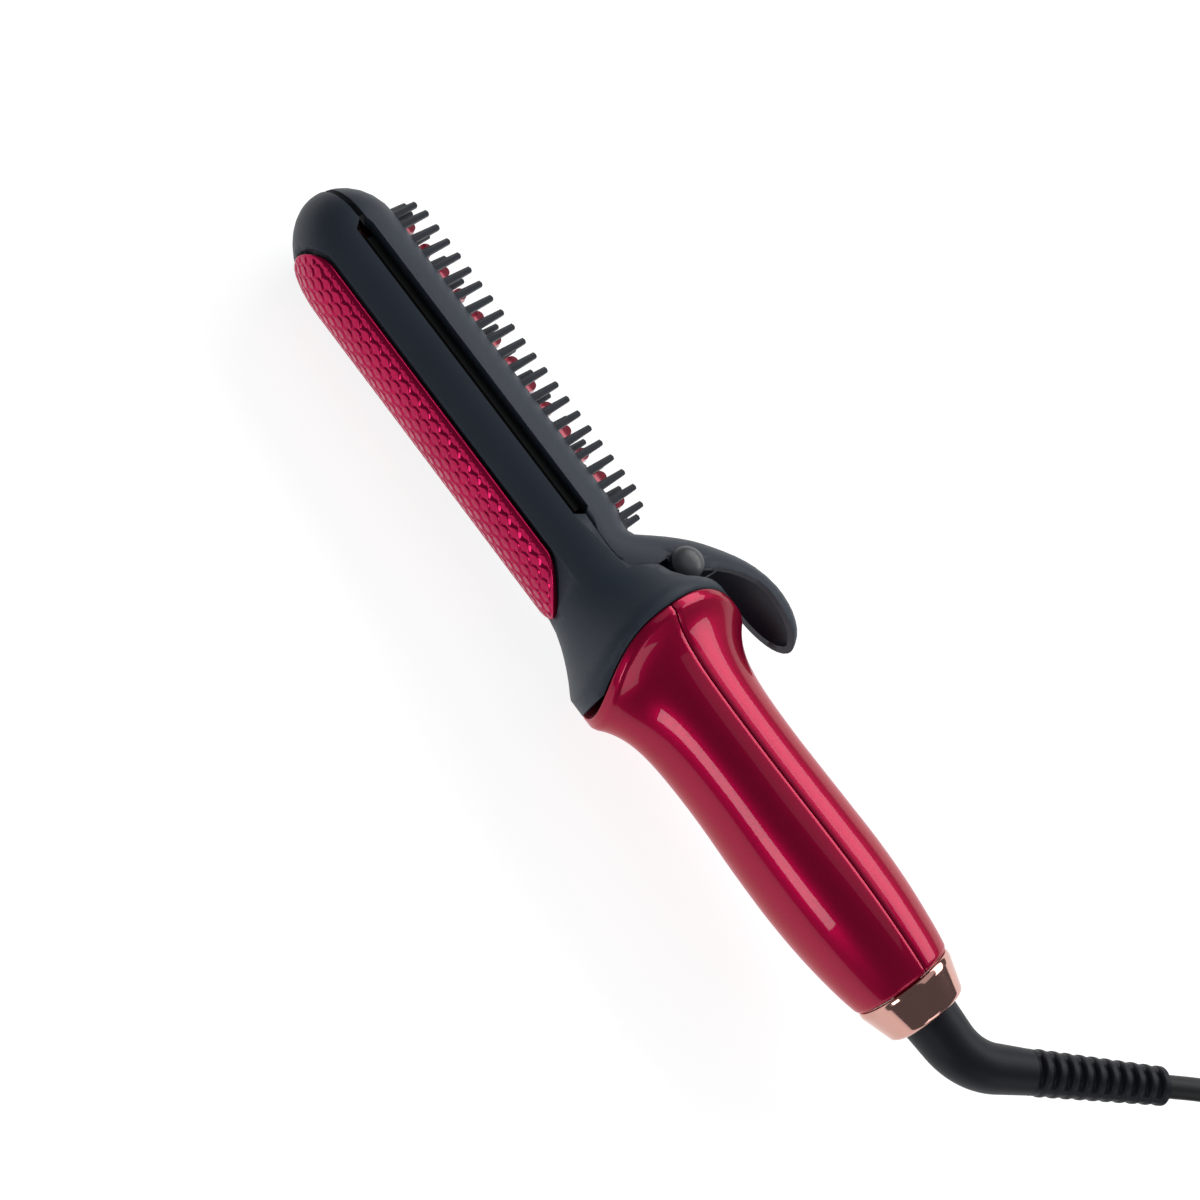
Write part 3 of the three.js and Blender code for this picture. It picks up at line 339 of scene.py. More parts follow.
# ---- finishes ------------------------------------------------------------------------------
def finish(name, colour, roughness, metallic=0.0, grain=2500.0, depth=0.05, patch=0.05, coat=0.0,
           coat_roughness=0.03, sheen=0.0, specular=0.5, flakes=0.0, tint=(1.0, 1.0, 1.0)):
    """A moulded or plated finish: colour clouds, a fine surface grain and uneven roughness, on Object coordinates."""
    name = f"look_{name}"
    if name in bpy.data.materials:
        return bpy.data.materials[name]
    material = bpy.data.materials.new(name)
    material.use_nodes = True
    nodes, links = material.node_tree.nodes, material.node_tree.links
    shader = nodes["Principled BSDF"]
    shader.inputs["Metallic"].default_value = metallic
    shader.inputs["Coat Weight"].default_value = coat
    shader.inputs["Coat Roughness"].default_value = coat_roughness
    shader.inputs["Sheen Weight"].default_value = sheen
    shader.inputs["Specular IOR Level"].default_value = specular
    shader.inputs["Specular Tint"].default_value = (*tint, 1)
    where = nodes.new("ShaderNodeTexCoord")
    clouds = nodes.new("ShaderNodeTexNoise")
    clouds.inputs["Scale"].default_value = 60
    clouds.inputs["Detail"].default_value = 4
    links.new(where.outputs["Object"], clouds.inputs["Vector"])
    fine = nodes.new("ShaderNodeTexNoise")
    fine.inputs["Scale"].default_value = grain
    fine.inputs["Detail"].default_value = 3
    links.new(where.outputs["Object"], fine.inputs["Vector"])
    shade = nodes.new("ShaderNodeMix")
    shade.data_type = "RGBA"
    low = [max(0.0, c * (1 - patch * 2)) for c in colour]
    high = [min(1.0, c * (1 + patch * 2)) for c in colour]
    shade.inputs["A"].default_value = (*low, 1)
    shade.inputs["B"].default_value = (*high, 1)
    links.new(clouds.outputs["Fac"], shade.inputs["Factor"])
    colour_out = shade.outputs["Result"]
    if flakes:
        cells = nodes.new("ShaderNodeTexVoronoi")
        cells.inputs["Scale"].default_value = 5200
        links.new(where.outputs["Object"], cells.inputs["Vector"])
        spark = nodes.new("ShaderNodeMapRange")
        spark.inputs["From Min"].default_value = 0.0
        spark.inputs["From Max"].default_value = 1.0
        spark.inputs["To Min"].default_value = 1 - flakes
        spark.inputs["To Max"].default_value = 1 + flakes
        links.new(cells.outputs["Color"], spark.inputs["Value"])
        lit = nodes.new("ShaderNodeMix")
        lit.data_type = "RGBA"
        lit.blend_type = "MULTIPLY"
        lit.inputs["Factor"].default_value = 1.0
        links.new(colour_out, lit.inputs["A"])
        links.new(spark.outputs["Result"], lit.inputs["B"])
        colour_out = lit.outputs["Result"]
    links.new(colour_out, shader.inputs["Base Color"])
    matt = nodes.new("ShaderNodeMapRange")
    matt.inputs["To Min"].default_value = max(0.02, roughness - 0.05)
    matt.inputs["To Max"].default_value = min(1.0, roughness + 0.05)
    links.new(fine.outputs["Fac"], matt.inputs["Value"])
    links.new(matt.outputs["Result"], shader.inputs["Roughness"])
    bump = nodes.new("ShaderNodeBump")
    bump.inputs["Strength"].default_value = depth
    bump.inputs["Distance"].default_value = 0.0002
    links.new(fine.outputs["Fac"], bump.inputs["Height"])
    links.new(bump.outputs["Normal"], shader.inputs["Normal"])
    return material


def settings():
    """The sizes and colours a user may change."""
    return bpy.context.scene.brush_settings


def black_plastic():
    """Fine matt slate-black moulding."""
    return finish("black_plastic", settings().body, 0.5, grain=3200, depth=0.22, patch=0.06, specular=0.25)


def pin_plastic():
    """Slightly lighter satin moulding of the hinge heads."""
    return finish("pin_head_plastic", settings().pin_head, 0.36, grain=2600, depth=0.15, patch=0.05)


def tooth_plastic():
    """Satin moulding of the comb teeth."""
    return finish("tooth_plastic", settings().teeth, 0.45, grain=3000, depth=0.12, patch=0.05, specular=0.25)


def candy_red():
    """Metallic red under a clear gloss lacquer."""
    return finish("candy_red_shell", settings().handle, 0.36, 0.6, grain=900, depth=0.008, patch=0.03,
                  coat=0.45, coat_roughness=0.02, specular=0.2, flakes=0.12, tint=(1.0, 0.1, 0.3))


def scale_red():
    """Magenta-red metallic coating of the scaled plate."""
    return finish("scaled_red_plate", settings().scales, 0.22, 0.8, grain=1800, depth=0.06, patch=0.08, flakes=0.15)


def plate_red():
    """Deep red satin metal of the fins; the straightening plates are shown with painted shade instead."""
    return finish("red_plate", settings().plates, 0.26, 0.55, grain=1500, depth=0.03, patch=0.05, coat=0.5)


def lower_plate_painted_shade():
    """Plate red darkened to about a quarter on the lower straightening plate: painted shade inside the slot."""
    return finish("lower_plate_painted_shade", settings().slot, 0.4, 0.2, grain=1500, depth=0.03, patch=0.05)


def slot_and_seam_painted_shade():
    """Near-black painted shade: on the upper straightening plate inside the slot and on the heel seam's cut walls."""
    return finish("slot_and_seam_painted_shade", (0.006, 0.006, 0.007), 0.4, grain=1500, depth=0.03, patch=0.05)


def rose_gold():
    """Polished rose-gold plating."""
    return finish("rose_gold", settings().ring, 0.09, 1.0, grain=700, depth=0.01, patch=0.02)


def boot_black():
    """Satin elastomer of the elbow and its ribs."""
    return finish("boot_black", settings().boot, 0.5, grain=2200, depth=0.1, patch=0.06, specular=0.22)


def cord_black():
    """Matt extruded sheath of the cord and the plug."""
    return finish("cord_black", settings().cord, 0.55, grain=1800, depth=0.1, patch=0.08, specular=0.35)


def tie_black():
    """Woven strap."""
    return finish("tie_black", (0.012, 0.012, 0.014), 0.85, grain=1500, depth=0.6, patch=0.2, sheen=0.3)


def bare_metal():
    """Plain ground steel."""
    return finish("steel", (0.55, 0.56, 0.58), 0.28, 1.0, grain=1600, depth=0.06)


def brass():
    """Plain stamped brass."""
    return finish("brass", (0.6, 0.42, 0.17), 0.28, 1.0, grain=1400, depth=0.05)


def light_metal():
    """Extruded aluminium."""
    return finish("aluminium", (0.62, 0.63, 0.65), 0.4, 1.0, grain=1200, depth=0.08)


def ceramic():
    """Sintered heater ceramic."""
    return finish("heater_ceramic", (0.7, 0.66, 0.58), 0.7, grain=1500, depth=0.15)


def board_green():
    """Solder mask of the circuit board."""
    return finish("board_green", (0.02, 0.12, 0.045), 0.35, grain=900, depth=0.05, patch=0.15)


def wire_white():
    """Insulation of the inner leads."""
    return finish("lead_insulation", (0.78, 0.76, 0.72), 0.5, grain=1200, depth=0.05)


# ---- pieces --------------------------------------------------------------------------------
LEAD_STRAIGHT = 14.0
LEAD_ROUTE = ((-70.8, 19.5, 36.7), (-58.9, 27.8, 32.9), (-46, 34.6, 28), (-32.4, 39.8, 23.2),
              (-18.2, 43.6, 19.6), (-5.6, 45.7, 18.2))
# Cord in the coil, clockwise from above: [degrees turned, radius, height].
COIL_KNOTS = ((0, 46.0, 18.2), (38, 38.6, 17.95), (290, 38.6, 17.95), (327, 38.6, 11.4),
              (650, 38.6, 11.4), (687, 38.6, 4.95), (970, 38.6, 4.95), (1007, 32, 4.95),
              (1290, 32, 4.95), (1327, 25.6, 4.95), (1608, 25.6, 4.95), (1647, 25.6, 11.4),
              (1930, 25.6, 11.4), (1967, 32, 11.4), (2248, 32, 11.4), (2287, 32, 17.95),
              (2484, 32, 17.95))
TAIL_BEND = 25.6
TAIL_MIDDLE = 6.4
TAIL_HEIGHTS = ((2484, 17.95), (2507, 20.6), (2527, 24.0), (2542, 25.1), (2562, 25.6), (2582, 26.8),
                (2600, 28.3), (2617, 28.75))
PLUG_RELIEF = 20.0
PLUG_LENGTH = 30.0
PLUG_MIDDLE = 28.75


def relief_point(beyond):
    """The boot's end, carried on by a length in its own direction."""
    x, y, angle = boot_line(np.array(BEND_START + BEND_RADIUS * BEND + BOOT_PLAIN + RELIEF_LENGTH + beyond))
    return placed(np.array((x, y, 0.0)))


def smooth_line(knots, count):
    """Cubic curve through knots of three numbers, spaced by their distances."""
    knots = np.array(knots, float)
    gone = np.concatenate(((0,), np.cumsum(np.linalg.norm(np.diff(knots, axis=0), axis=1))))
    at = np.linspace(0, gone[-1], count)
    return np.stack([eased(np.stack((gone, knots[:, k]), -1), at) for k in range(3)], -1)


def cord_path():
    """The cord's middle line: out of the relief, down beside the coil, round its turns and up to the plug."""
    lead = np.array([relief_point(0.0), relief_point(LEAD_STRAIGHT)]
                    + [COIL_MIDDLE + np.array(point) / 1000 for point in LEAD_ROUTE])
    first = math.degrees(math.atan2(LEAD_ROUTE[-1][1], LEAD_ROUTE[-1][0]))
    turned = np.concatenate((np.arange(12.0, 2484, 10), np.arange(2484, 2520, 9)))
    knots = np.array(COIL_KNOTS)
    at = np.interp(turned, knots[:, 0], np.arange(len(knots)))
    whole = np.clip(at.astype(int), 0, len(knots) - 2)
    part = at - whole
    part = part * part * (3 - 2 * part)
    radius = knots[whole, 1] * (1 - part) + knots[whole + 1, 1] * part
    height = knots[whole, 2] * (1 - part) + knots[whole + 1, 2] * part
    height = np.where(turned > 2484, eased(TAIL_HEIGHTS, turned), height)
    angle = np.radians(first - turned)
    coil = np.stack((radius * np.cos(angle), radius * np.sin(angle), height), -1)
    leaving = 2430 + first
    turned = np.arange(leaving, leaving + 90.1, 6)
    angle = np.radians(90 - (turned - leaving))
    tail = np.stack((TAIL_BEND * np.cos(angle), TAIL_MIDDLE + TAIL_BEND * np.sin(angle),
                     eased(TAIL_HEIGHTS, turned)), -1)
    end = np.array([(TAIL_BEND, TAIL_MIDDLE - along, PLUG_MIDDLE) for along in (1.0, 2.0)])
    return np.concatenate((smooth_line(lead, 26), COIL_MIDDLE + np.concatenate((coil, tail, end)) / 1000))


class BRUSH_OT_stage(bpy.types.Operator):
    """Pale table, soft studio light and the camera"""
    bl_idname = "brush.stage"
    bl_label = "Stage"

    def execute(self, context):
        scene = context.scene
        floor = bpy.data.meshes.new("table")
        floor.from_pydata([(-30, -30, 0), (30, -30, 0), (30, 30, 0), (-30, 30, 0)], [], [(0, 1, 2, 3)])
        table = bpy.data.objects.new("table", floor)
        pale = bpy.data.materials.new("table_white")
        pale.use_nodes = True
        shader = pale.node_tree.nodes["Principled BSDF"]
        shader.inputs["Base Color"].default_value = (0.4, 0.4, 0.4, 1)
        shader.inputs["Roughness"].default_value = 0.75
        shader.inputs["Specular IOR Level"].default_value = 0.2
        shader.inputs["Emission Color"].default_value = (1, 1, 1, 1)
        shader.inputs["Emission Strength"].default_value = 0.82
        floor.materials.append(pale)
        scene.collection.objects.link(table)
        world = bpy.data.worlds.new("studio")
        world.use_nodes = True
        world.node_tree.nodes["Background"].inputs["Color"].default_value = (0.9, 0.95, 1, 1)
        world.node_tree.nodes["Background"].inputs["Strength"].default_value = 0.14
        scene.world = world
        scene.view_settings.view_transform = "Standard"
        # Far window band beside the lever, a smaller window on the other side, a soft end light.
        lamps = (
            ("window_light", (0.0, 0.72, 0.5), 1.3, 0.42, 6.5),
            ("side_window", (0.1, -0.62, 0.34), 0.26, 0.2, 1.0),
            ("overhead", (-0.1, 0.35, 0.9), 1.0, 0.8, 1.3),
            ("end_light", (0.95, -0.1, 0.4), 0.5, 0.4, 1.2),
        )
        for name, place, wide, tall, power in lamps:
            lamp = bpy.data.lights.new(name, "AREA")
            lamp.shape = "RECTANGLE"
            lamp.size = wide
            lamp.size_y = tall
            lamp.energy = power
            light = bpy.data.objects.new(name, lamp)
            towards = (Vector((0.02, 0, 0.03)) - Vector(place)).to_track_quat("-Z", "Y")
            light.matrix_world = Matrix.Translation(place) @ towards.to_matrix().to_4x4()
            scene.collection.objects.link(light)
        lens = bpy.data.cameras.new("camera")
        lens.sensor_width = 36
        lens.lens = 48.5
        lens.clip_start = 0.01
        camera = bpy.data.objects.new("camera", lens)
        right = turned_to_row((0.59978, 0.74689, 0.28707))
        down = turned_to_row((0.79187, -0.50251, -0.34703))
        ahead = turned_to_row((-0.11494, 0.43547, -0.89284))
        place = placed((193.587, -198.139, 399.698))
        camera.matrix_world = Matrix((
            (right[0], -down[0], -ahead[0], place[0]),
            (right[1], -down[1], -ahead[1], place[1]),
            (right[2], -down[2], -ahead[2], place[2]),
            (0, 0, 0, 1)))
        scene.collection.objects.link(camera)
        scene.camera = camera
        return {"FINISHED"}


class BRUSH_OT_cord(bpy.types.Operator):
    """Mains cord, its tie and its plug"""
    bl_idname = "brush.cord"
    bl_label = "Cord and plug"

    def execute(self, context):
        path = cord_path()
        cord = finished("mains_cord", Shape().grid(tube_along(path, CORD_RADIUS / 1000, 14)).mesh("mains_cord"),
                        cord_black(), None, ("cord_lead", "cord_coil", "cord_tail"))
        plug = self.plug()
        pins = [self.pin(side) for side in (-1, 1)]
        tie = self.tie()
        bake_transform(cord)
        return {"FINISHED"}

    def plug(self):
        """Plug: superellipse sections whose half width and height narrow towards a ribbed, tapering relief."""
        x = np.concatenate((np.linspace(0, 1, 6), np.linspace(1.6, PLUG_LENGTH, 30),
                            np.linspace(PLUG_LENGTH + 0.3, PLUG_LENGTH + PLUG_RELIEF, 70)))
        start = np.minimum(1, x / 1.0)
        corner = 0.955 + 0.045 * np.sqrt(1 - (1 - start) ** 2)
        shrink = np.clip((x - PLUG_LENGTH * 0.5) / (PLUG_LENGTH * 0.5), 0, 1)
        shrink = shrink * shrink * (3 - 2 * shrink)
        wide = (13.5 * (1 - shrink) + 5.2 * shrink) * corner
        high = (6.85 * (1 - shrink) + 5.2 * shrink) * corner
        relief = x > PLUG_LENGTH
        along = np.clip((x - PLUG_LENGTH) / PLUG_RELIEF, 0, 1)
        ribs = 0.45 * (np.sin((x - PLUG_LENGTH) / PLUG_RELIEF * 7 * 2 * math.pi) > 0)
        round_radius = 5.2 - 1.0 * along - ribs
        wide = np.where(relief, round_radius, wide)
        high = np.where(relief, round_radius, high)
        power = np.where(relief, 2.0, 4.0 - 2.0 * shrink)[:, None]
        angle = np.linspace(0, 2 * math.pi, 48, endpoint=False)[None, :]
        c, s = np.cos(angle), np.sin(angle)
        fit = (np.abs(c) ** power + np.abs(s) ** power) ** (-1 / power)
        across = wide[:, None] * fit * c
        rise = high[:, None] * fit * s
        y = (TAIL_MIDDLE - PLUG_RELIEF - PLUG_LENGTH + x)[:, None] + 0 * angle
        points = COIL_MIDDLE + np.stack((TAIL_BEND + across, y, PLUG_MIDDLE + rise), -1) / 1000
        mesh = Shape().grid(points, flip=True).mesh("mains_plug")
        return finished("mains_plug", mesh, cord_black(), "body", ("plug_body",))

    def pin(self, side):
        """Plug pin: a round-nosed bar, its inner half sleeved."""
        name = "plug_pin_" + ("live" if side > 0 else "neutral")
        face = TAIL_MIDDLE - PLUG_RELIEF - PLUG_LENGTH
        profile = ((0, 0.01), (0, 1.2), (0.3, 1.6), (1.0, 1.9), (2.0, 2.0), (9.0, 2.0), (9.1, 1.9),
                   (18.7, 1.9), (18.7, 0.01))
        points = lathe([(face - 19 + place, radius) for place, radius in profile], 24, "y")
        # Local +y of the plug lies along -x of the row, so the live pin is on that side.
        points = COIL_MIDDLE + (points + np.array((TAIL_BEND - side * 9.3, 0, PLUG_MIDDLE))) / 1000
        return finished(name + "_finished", Shape().grid(points).mesh(name), brass(), "body", (name,))

    def tie(self):
        """Strap: a thin rectangle carried round a rounded box about the coil's turns."""
        half_wide, low, high = 11.9, 0.7, 22.4
        middle, tall = (low + high) / 2, (high - low) / 2
        angle = np.linspace(0, 2 * math.pi, 72, endpoint=False)
        fit = (np.abs(np.cos(angle)) ** 5 + np.abs(np.sin(angle)) ** 5) ** -0.2
        section = ((-5, -0.45), (5, -0.45), (5, 0.45), (-5, 0.45))
        rows = []
        for across, out in section:
            rows.append(np.stack((np.full_like(angle, across), -32 + (half_wide + out) * fit * np.cos(angle),
                                  middle + (tall + out) * fit * np.sin(angle)), -1))
        points = COIL_MIDDLE + np.stack(rows + [rows[0]], 0) / 1000
        shape = Shape().grid(points, caps=(False, False))
        mesh = shape.mesh("cord_strap")
        return finished("cord_strap", joined(mesh), tie_black(), "body", ("cord_tie",), bevel=0.15)


def joined(mesh):
    """Merges doubled points and turns every face outwards."""
    work = bmesh.new()
    work.from_mesh(mesh)
    bmesh.ops.remove_doubles(work, verts=work.verts, dist=1e-7)
    bmesh.ops.recalc_face_normals(work, faces=work.faces)
    work.to_mesh(mesh)
    work.free()
    return mesh


class BRUSH_OT_boot(bpy.types.Operator):
    """Swivelling elbow with its ribbed strain relief"""
    bl_idname = "brush.boot"
    bl_label = "Cord boot"

    def execute(self, context):
        """Boot: core radius plus rib height at a rib or rail; ribs repeat along, rails lie in the bend plane."""
        arc = BEND_RADIUS * BEND
        ribs_start = BEND_START + arc + BOOT_PLAIN
        end = ribs_start + RELIEF_LENGTH
        inner = np.array((254, 254.01, 254.5, 275.4, 275.6, 275.61, 276, 280.2, 280.6, 280.61))
        inner_radius = np.array((0.05, 3.9, 4.4, 4.4, 4.4, 9.3, 9.8, 9.8, 9.3, 8.2))
        plain = np.linspace(281, ribs_start - 0.05, 60)
        ribbed = np.linspace(ribs_start, end - 0.4, 300)
        closing = np.array((end - 0.2, end - 0.05, end))
        distance = np.concatenate((inner, plain, ribbed, closing))
        angle = np.linspace(0, 2 * math.pi, 72, endpoint=False)
        share = np.clip((distance - RING_END) / (ribs_start - RING_END), 0, 1)
        plain_radius = BOOT_RADIUS + (RELIEF_RADIUS - 0.3 - BOOT_RADIUS) * share
        down = np.clip((distance - ribs_start) / RELIEF_LENGTH, 0, 1)
        outer = RELIEF_RADIUS + (RELIEF_TIP - RELIEF_RADIUS) * down
        pitch = RELIEF_LENGTH / RIB_COUNT
        phase = (distance - ribs_start) / pitch % 1
        rib = 1 / (1 + np.exp((0.29 - np.minimum(np.abs(phase - 0.78), np.abs(phase + 0.22))) * -26))
        rib = np.where(distance > end - 1.4, 1.0, rib)
        rail = 1 / (1 + np.exp(-(np.abs(np.cos(angle)) - 0.72) * 22))
        height = np.maximum(rib[:, None], 0.82 * rail[None, :])
        radius = np.where((distance < ribs_start)[:, None], plain_radius[:, None],
                          outer[:, None] - 1.7 * (1 - height))
        last = np.isclose(distance, end)
        radius = np.where(last[:, None], outer[:, None] - 0.8, radius)
        radius[:len(inner)] = inner_radius[:, None]
        x, y, turn = boot_line(distance)
        across = radius * np.cos(angle)[None, :]
        points = np.stack((x[:, None] - across * np.sin(turn)[:, None],
                           y[:, None] + across * np.cos(turn)[:, None],
                           radius * np.sin(angle)[None, :]), -1)
        mesh = Shape().grid(placed(points)).mesh("boot")
        finished("swivel_boot", mesh, boot_black(), "swivel", ("cord_boot",))
        return {"FINISHED"}


class BRUSH_OT_ring(bpy.types.Operator):
    """Plated ring that closes the handle"""
    bl_idname = "brush.ring"
    bl_label = "End ring"

    def execute(self, context):
        start = HANDLE_END + 0.3
        profile = [(start, 13.15), (start, 14.1), (start + 0.08, 14.4), (start + 0.3, 14.6),
                   (start + 0.7, 14.72), (start + 1.3, 14.7)]
        x = np.linspace(start + 1.8, RING_END - 1.6, 24)
        profile += list(zip(x, 14.68 - (x - start - 1.8) / (RING_END - 3.4 - start) * 2.55))
        profile += [(RING_END - 1.2, 12.0), (RING_END - 0.7, 11.75), (RING_END - 0.25, 11.2),
                    (RING_END, 10.4), (RING_END, 8.7), (RING_END - 0.2, 8.5), (280.95, 8.5),
                    (280.9, 10.9), (start + 0.9, 13.15)]
        points = lathe(profile + [profile[0]], 128)
        mesh = Shape().grid(placed(points), caps=(False, False)).mesh("ring", sharp=50)
        finished("plated_ring", joined(mesh), rose_gold(), "body", ("end_ring",))
        return {"FINISHED"}


class BRUSH_OT_shells(bpy.types.Operator):
    """The handle's two red shells"""
    bl_idname = "brush.shells"
    bl_label = "Handle shells"

    def execute(self, context):
        for side, name in ((1, "upper"), (-1, "lower")):
            shell = self.shell(side, name)
            if side > 0:
                self.cut_slot(shell)
        return {"FINISHED"}

    def shell(self, side, name):
        """Half shell: grip radius over half a turn, out from the bezel's swept edge to the ring, with an inner wall."""
        inset = 0.25 / COLLAR_RADIUS
        half = np.linspace(-math.pi / 2 + inset, math.pi / 2 - inset, 90)
        angle = half if side > 0 else half + math.pi
        share = np.concatenate((np.linspace(0, 0.035, 12), np.linspace(0.038, 0.3, 60), np.linspace(0.31, 1, 90)))
        first = swept(COLLAR_EDGE + 0.3, COLLAR_RADIUS * np.cos(angle))
        x = first[None, :] + share[:, None] * (HANDLE_END - first[None, :])
        turn = np.broadcast_to(angle[None, :], x.shape)
        line = swept(BEZEL_EDGE, COLLAR_RADIUS * np.cos(angle), 1.1)[None, :]
        groove = 0.28 * np.exp(-((x - line) / 0.28) ** 2)
        lip = 0.35 * np.exp(-((x - first[None, :]) / 0.25) ** 2) + 0.3 * np.exp(-((x - HANDLE_END) / 0.3) ** 2)
        radius = grip_radius(x, turn) - groove - lip
        seam = np.minimum(half - half[0], half[-1] - half)[None, :] * radius
        radius = radius - 0.3 * np.exp(-(seam / 0.22) ** 2)
        inner = np.maximum(grip_radius(x, turn) - HANDLE_WALL, 11.0)
        inner = np.where(x < 168, np.minimum(inner, 14.0 + (np.maximum(x, 150) - 150) * 0.1), inner)
        outer_points = np.stack((x, radius * np.cos(turn), radius * np.sin(turn)), -1)
        inner_points = np.stack((x, inner * np.cos(turn), inner * np.sin(turn)), -1)[:, ::-1]
        ring = np.concatenate((outer_points, inner_points), 1)
        rows, columns = ring.shape[:2]
        mesh = Shape().grid(placed(ring), caps=(False, False))
        ends = []
        for row in (0, rows - 1):
            strip = np.stack((placed(outer_points[row]), placed(inner_points[row][::-1])), 0)
            ends.append(strip)
        mesh.grid(ends[0], closed=False)
        mesh.grid(ends[1], closed=False)
        return finished("handle_" + name + "_finished", joined(mesh.mesh(name, sharp=50)), candy_red(), "body",
                        ("handle_shell_" + name,))

    def cut_slot(self, shell):
        """Cuts the switch's round-ended slot: a stadium carried straight through the wall."""
        angle = np.linspace(0, 2 * math.pi, 48, endpoint=False)
        x = 216 + 4.8 * np.sign(np.cos(angle)) + 3.2 * np.cos(angle)
        z = 3.2 * np.sin(angle)
        rows = np.stack([np.stack((x, np.full_like(x, y), z), -1) for y in (11.0, 24.0)], 0)
        cutter = finished("slot_cutter", joined(Shape().grid(placed(rows)).mesh("slot")), candy_red(), "body")
        cut_away(shell, cutter)


class BRUSH_OT_plate(bpy.types.Operator):
    """Scaled curling plate under the barrel"""
    bl_idname = "brush.plate"
    bl_label = "Curling plate"

    def execute(self, context):
        """Plate: shell radius plus its rise, minus a dip along scale edges; its half width rounds off at both ends."""
        x = np.linspace(PLATE_START, PLATE_END, 560)
        front = np.clip((x - PLATE_START) / 12.5, 0, 1)
        back = np.clip((PLATE_END - x) / 14.5, 0, 1)
        half = PLATE_HALF * np.sqrt(1 - (1 - front) ** 2.2) * (1 - (1 - back) ** 1.7) ** 0.75
        half = np.maximum(half, 0.02)
        v = np.linspace(-1, 1, 120)
        z = half[:, None] * v[None, :]
        x2 = np.broadcast_to(x[:, None], z.shape)
        angle = math.pi - np.arcsin(np.clip(z / (BARREL_RADIUS + 0.7), -1, 1))
        base = lower_radius(x2, angle) + 0.7
        arc = (math.pi - angle) * BARREL_RADIUS
        edge = (half[:, None] - np.abs(z))
        ends = np.minimum(x2 - PLATE_START, PLATE_END - x2)
        rim = np.clip(np.minimum(edge, ends) / 1.1, 0, 1)
        period, row = settings().scale_length * 1000, settings().scale_row * 1000
        lane = np.floor(arc / row)
        down = arc / row - lane
        shift = x2 / period + 0.5 * (lane % 2)
        cell = shift - np.floor(shift) - 0.5
        ridge = np.abs(cell) * 2
        scale = (1 - ridge) * 0.5 + (1 - np.abs(down - 0.5) * 2) * 0.5
        scallop = np.clip(1 - np.abs(down - 0.15 - 0.7 * (1 - ridge**2)) * 3.2, 0, 1)
        dip = 0.34 - 0.3 * scale - 0.22 * scallop
        rise = base - np.where(rim >= 1, np.clip(dip, 0, 0.4), 0.05)
        rise = rise - 0.35 * (1 - np.clip(np.minimum(edge, ends) / 0.35, 0, 1)) ** 2
        top = np.stack((x2, rise * np.cos(angle), rise * np.sin(angle)), -1)
        under = base - 1.6
        bottom = np.stack((x2, under * np.cos(angle), under * np.sin(angle)), -1)[:, ::-1]
        ring = np.concatenate((top, bottom), 1)
        mesh = Shape().grid(placed(ring)).mesh("scales", sharp=60)
        finished("scaled_plate", joined(mesh), scale_red(), "body", ("curling_plate",))
        return {"FINISHED"}


class BRUSH_OT_housing(bpy.types.Operator):
    """Lower shell, neck and collar"""
    bl_idname = "brush.housing"
    bl_label = "Barrel housing"

    def execute(self, context):
        cut_away(smooth_copy("barrel_housing", black_plastic(), "body", 28), seam_cutter())
        return {"FINISHED"}


class BRUSH_OT_arm(bpy.types.Operator):
    """Comb arm with its lever"""
    bl_idname = "brush.arm"
    bl_label = "Comb arm"

    def execute(self, context):
        cut_away(smooth_copy("clamp_arm", black_plastic(), "clamp", 32), seam_cutter())
        return {"FINISHED"}


class BRUSH_OT_comb(bpy.types.Operator):
    """Comb cover with its teeth, and the heated fins"""
    bl_idname = "brush.comb"
    bl_label = "Comb"

    def execute(self, context):
        smooth_copy("comb_cover", tooth_plastic(), "clamp", 50)
        smooth_copy("comb_heat_plate", plate_red(), "clamp", 35)
        return {"FINISHED"}


class BRUSH_OT_inside(bpy.types.Operator):
    """Plates, heaters, core, hinge, switch, board and contacts"""
    bl_idname = "brush.inside"
    bl_label = "Inner pieces"

    def execute(self, context):
        body_of_node = {node: body for body, nodes in frame["record"]["behaviour"]["bodies"].items() for node in nodes}
        finishes = {
            "barrel_core": light_metal, "lower_heater": ceramic, "upper_heater": ceramic,
            "lower_straightening_plate": lower_plate_painted_shade, "upper_straightening_plate": slot_and_seam_painted_shade,
            "hinge_pin": bare_metal, "hinge_pin_head_near": pin_plastic, "hinge_pin_head_far": pin_plastic,
            "clamp_spring": bare_metal, "switch_slider": black_plastic, "switch_body": black_plastic,
            # The two straightening plates get painted shade: a darkened red below, near-black above.
            "circuit_board": board_green, "heater_lead_live": wire_white, "heater_lead_neutral": wire_white,
            "contact_brush_live": brass, "contact_brush_neutral": brass, "slip_ring_live": brass,
            "slip_ring_neutral": brass,
        }
        for node, made in finishes.items():
            copy = smooth_copy(node, made(), None if node == "clamp_spring" else body_of_node[node], 35)
            if node == "clamp_spring":
                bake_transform(copy)
        return {"FINISHED"}


def length(name, description, default):
    """A size the user may change, in metres."""
    return bpy.props.FloatProperty(name=name, description=description, default=default, min=0.0001,
                                   unit="LENGTH", precision=5)


def colour(name, description, default):
    """A colour the user may change."""
    return bpy.props.FloatVectorProperty(name=name, description=description, default=default, size=3,
                                         subtype="COLOR", min=0, max=1)


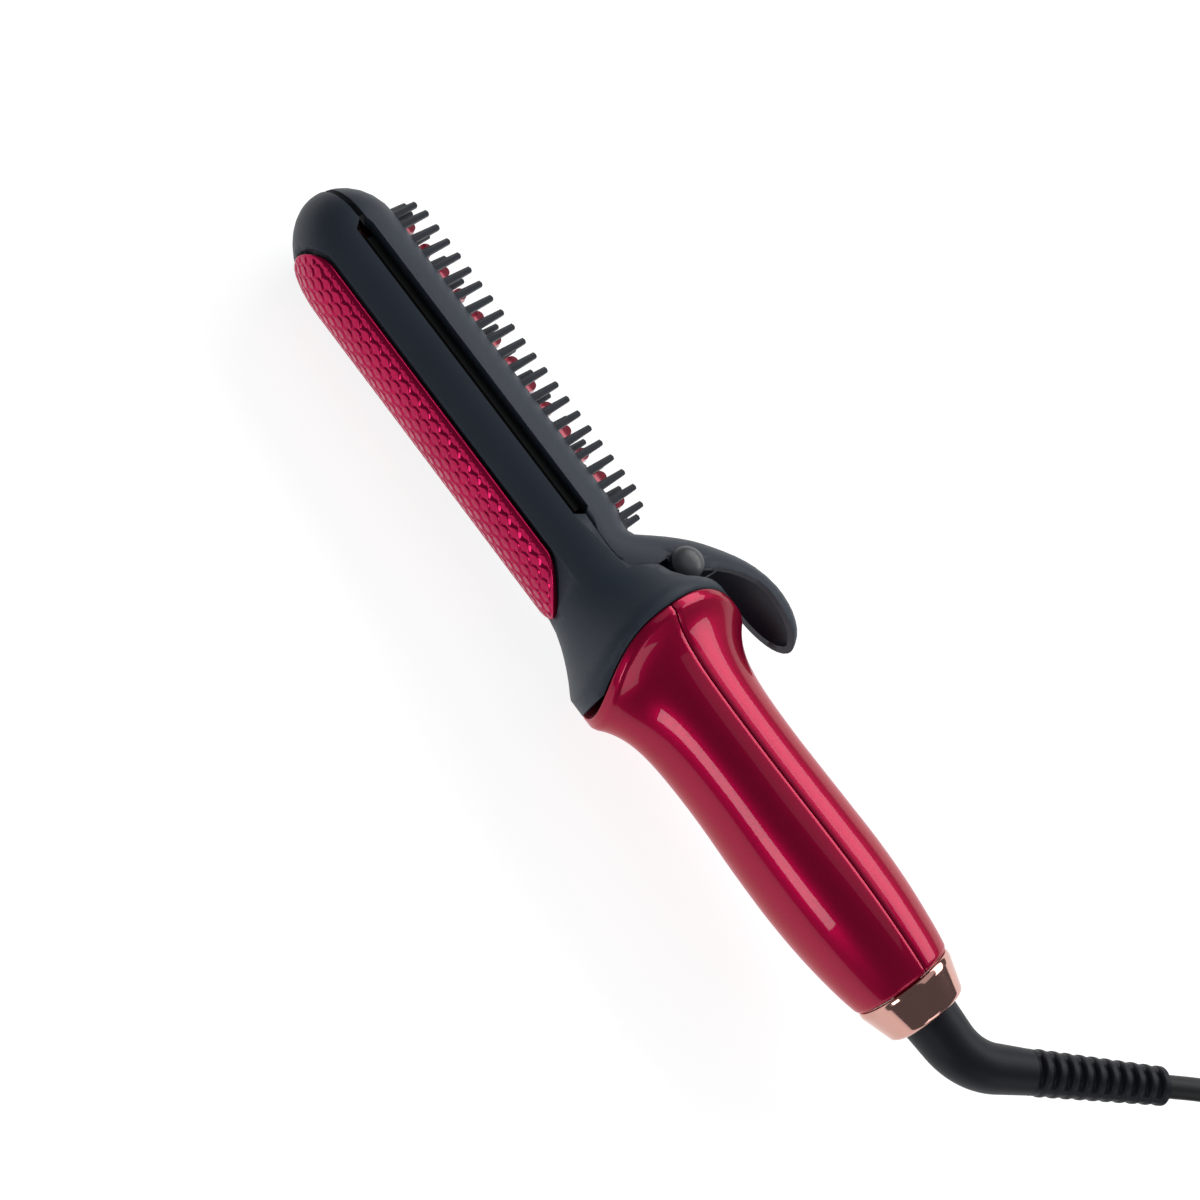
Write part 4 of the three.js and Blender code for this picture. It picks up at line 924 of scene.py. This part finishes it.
class BrushSettings(bpy.types.PropertyGroup):
    """Sizes and colours of the finished brush"""
    seam_width: length("Heel seam", "Width of the parting line behind the slot", 0.0008)
    scale_length: length("Scale length", "Length of one scale of the curling plate", 0.0046)
    scale_row: length("Scale row", "Width of one row of scales", 0.0026)
    body: colour("Body", "Matt plastic of the barrel and the arm", (0.026, 0.035, 0.05))
    pin_head: colour("Pin heads", "Plastic of the hinge heads", (0.055, 0.06, 0.066))
    teeth: colour("Teeth", "Plastic of the comb teeth", (0.02, 0.024, 0.032))
    handle: colour("Handle", "Lacquered handle shells", (0.34, 0.0, 0.036))
    scales: colour("Curling plate", "Scaled metal plate", (0.42, 0.002, 0.06))
    plates: colour("Plates and fins", "Straightening plates and fins", (0.22, 0.0, 0.02))
    # The plate red darkened: painted shade on the lower plate inside the slot.
    slot: colour("Lower plate", "Lower straightening plate", (0.05, 0.001, 0.006))
    ring: colour("End ring", "Plated end ring", (0.62, 0.34, 0.29))
    boot: colour("Boot", "Elbow and strain relief", (0.007, 0.008, 0.013))
    cord: colour("Cord", "Cord sheath and plug", (0.006, 0.0065, 0.008))


PIECES = (BRUSH_OT_stage, BRUSH_OT_cord, BRUSH_OT_boot, BRUSH_OT_ring, BRUSH_OT_shells, BRUSH_OT_plate,
          BRUSH_OT_housing, BRUSH_OT_arm, BRUSH_OT_comb, BRUSH_OT_inside)


class BRUSH_PT_panel(bpy.types.Panel):
    """Lists the pieces in the sidebar"""
    bl_idname = "BRUSH_PT_panel"
    bl_label = "Styling brush"
    bl_space_type = "VIEW_3D"
    bl_region_type = "UI"
    bl_category = "Brush"

    def draw(self, context):
        column = self.layout.column(align=True)
        for operator in PIECES:
            column.operator(operator.bl_idname)
        for name in BrushSettings.__annotations__:
            self.layout.prop(context.scene.brush_settings, name)


CLASSES = (BrushSettings, *PIECES, BRUSH_PT_panel)


def register():
    """Adds the classes and the settings to Blender."""
    for made in CLASSES:
        bpy.utils.register_class(made)
    bpy.types.Scene.brush_settings = bpy.props.PointerProperty(type=BrushSettings)


def unregister():
    """Takes them out again."""
    del bpy.types.Scene.brush_settings
    for made in reversed(CLASSES):
        bpy.utils.unregister_class(made)


def main():
    """Registers the classes and makes every piece in order."""
    register()
    for operator in PIECES:
        group, name = operator.bl_idname.split(".")
        getattr(getattr(bpy.ops, group), name)()


if __name__ == "__main__":
    main()
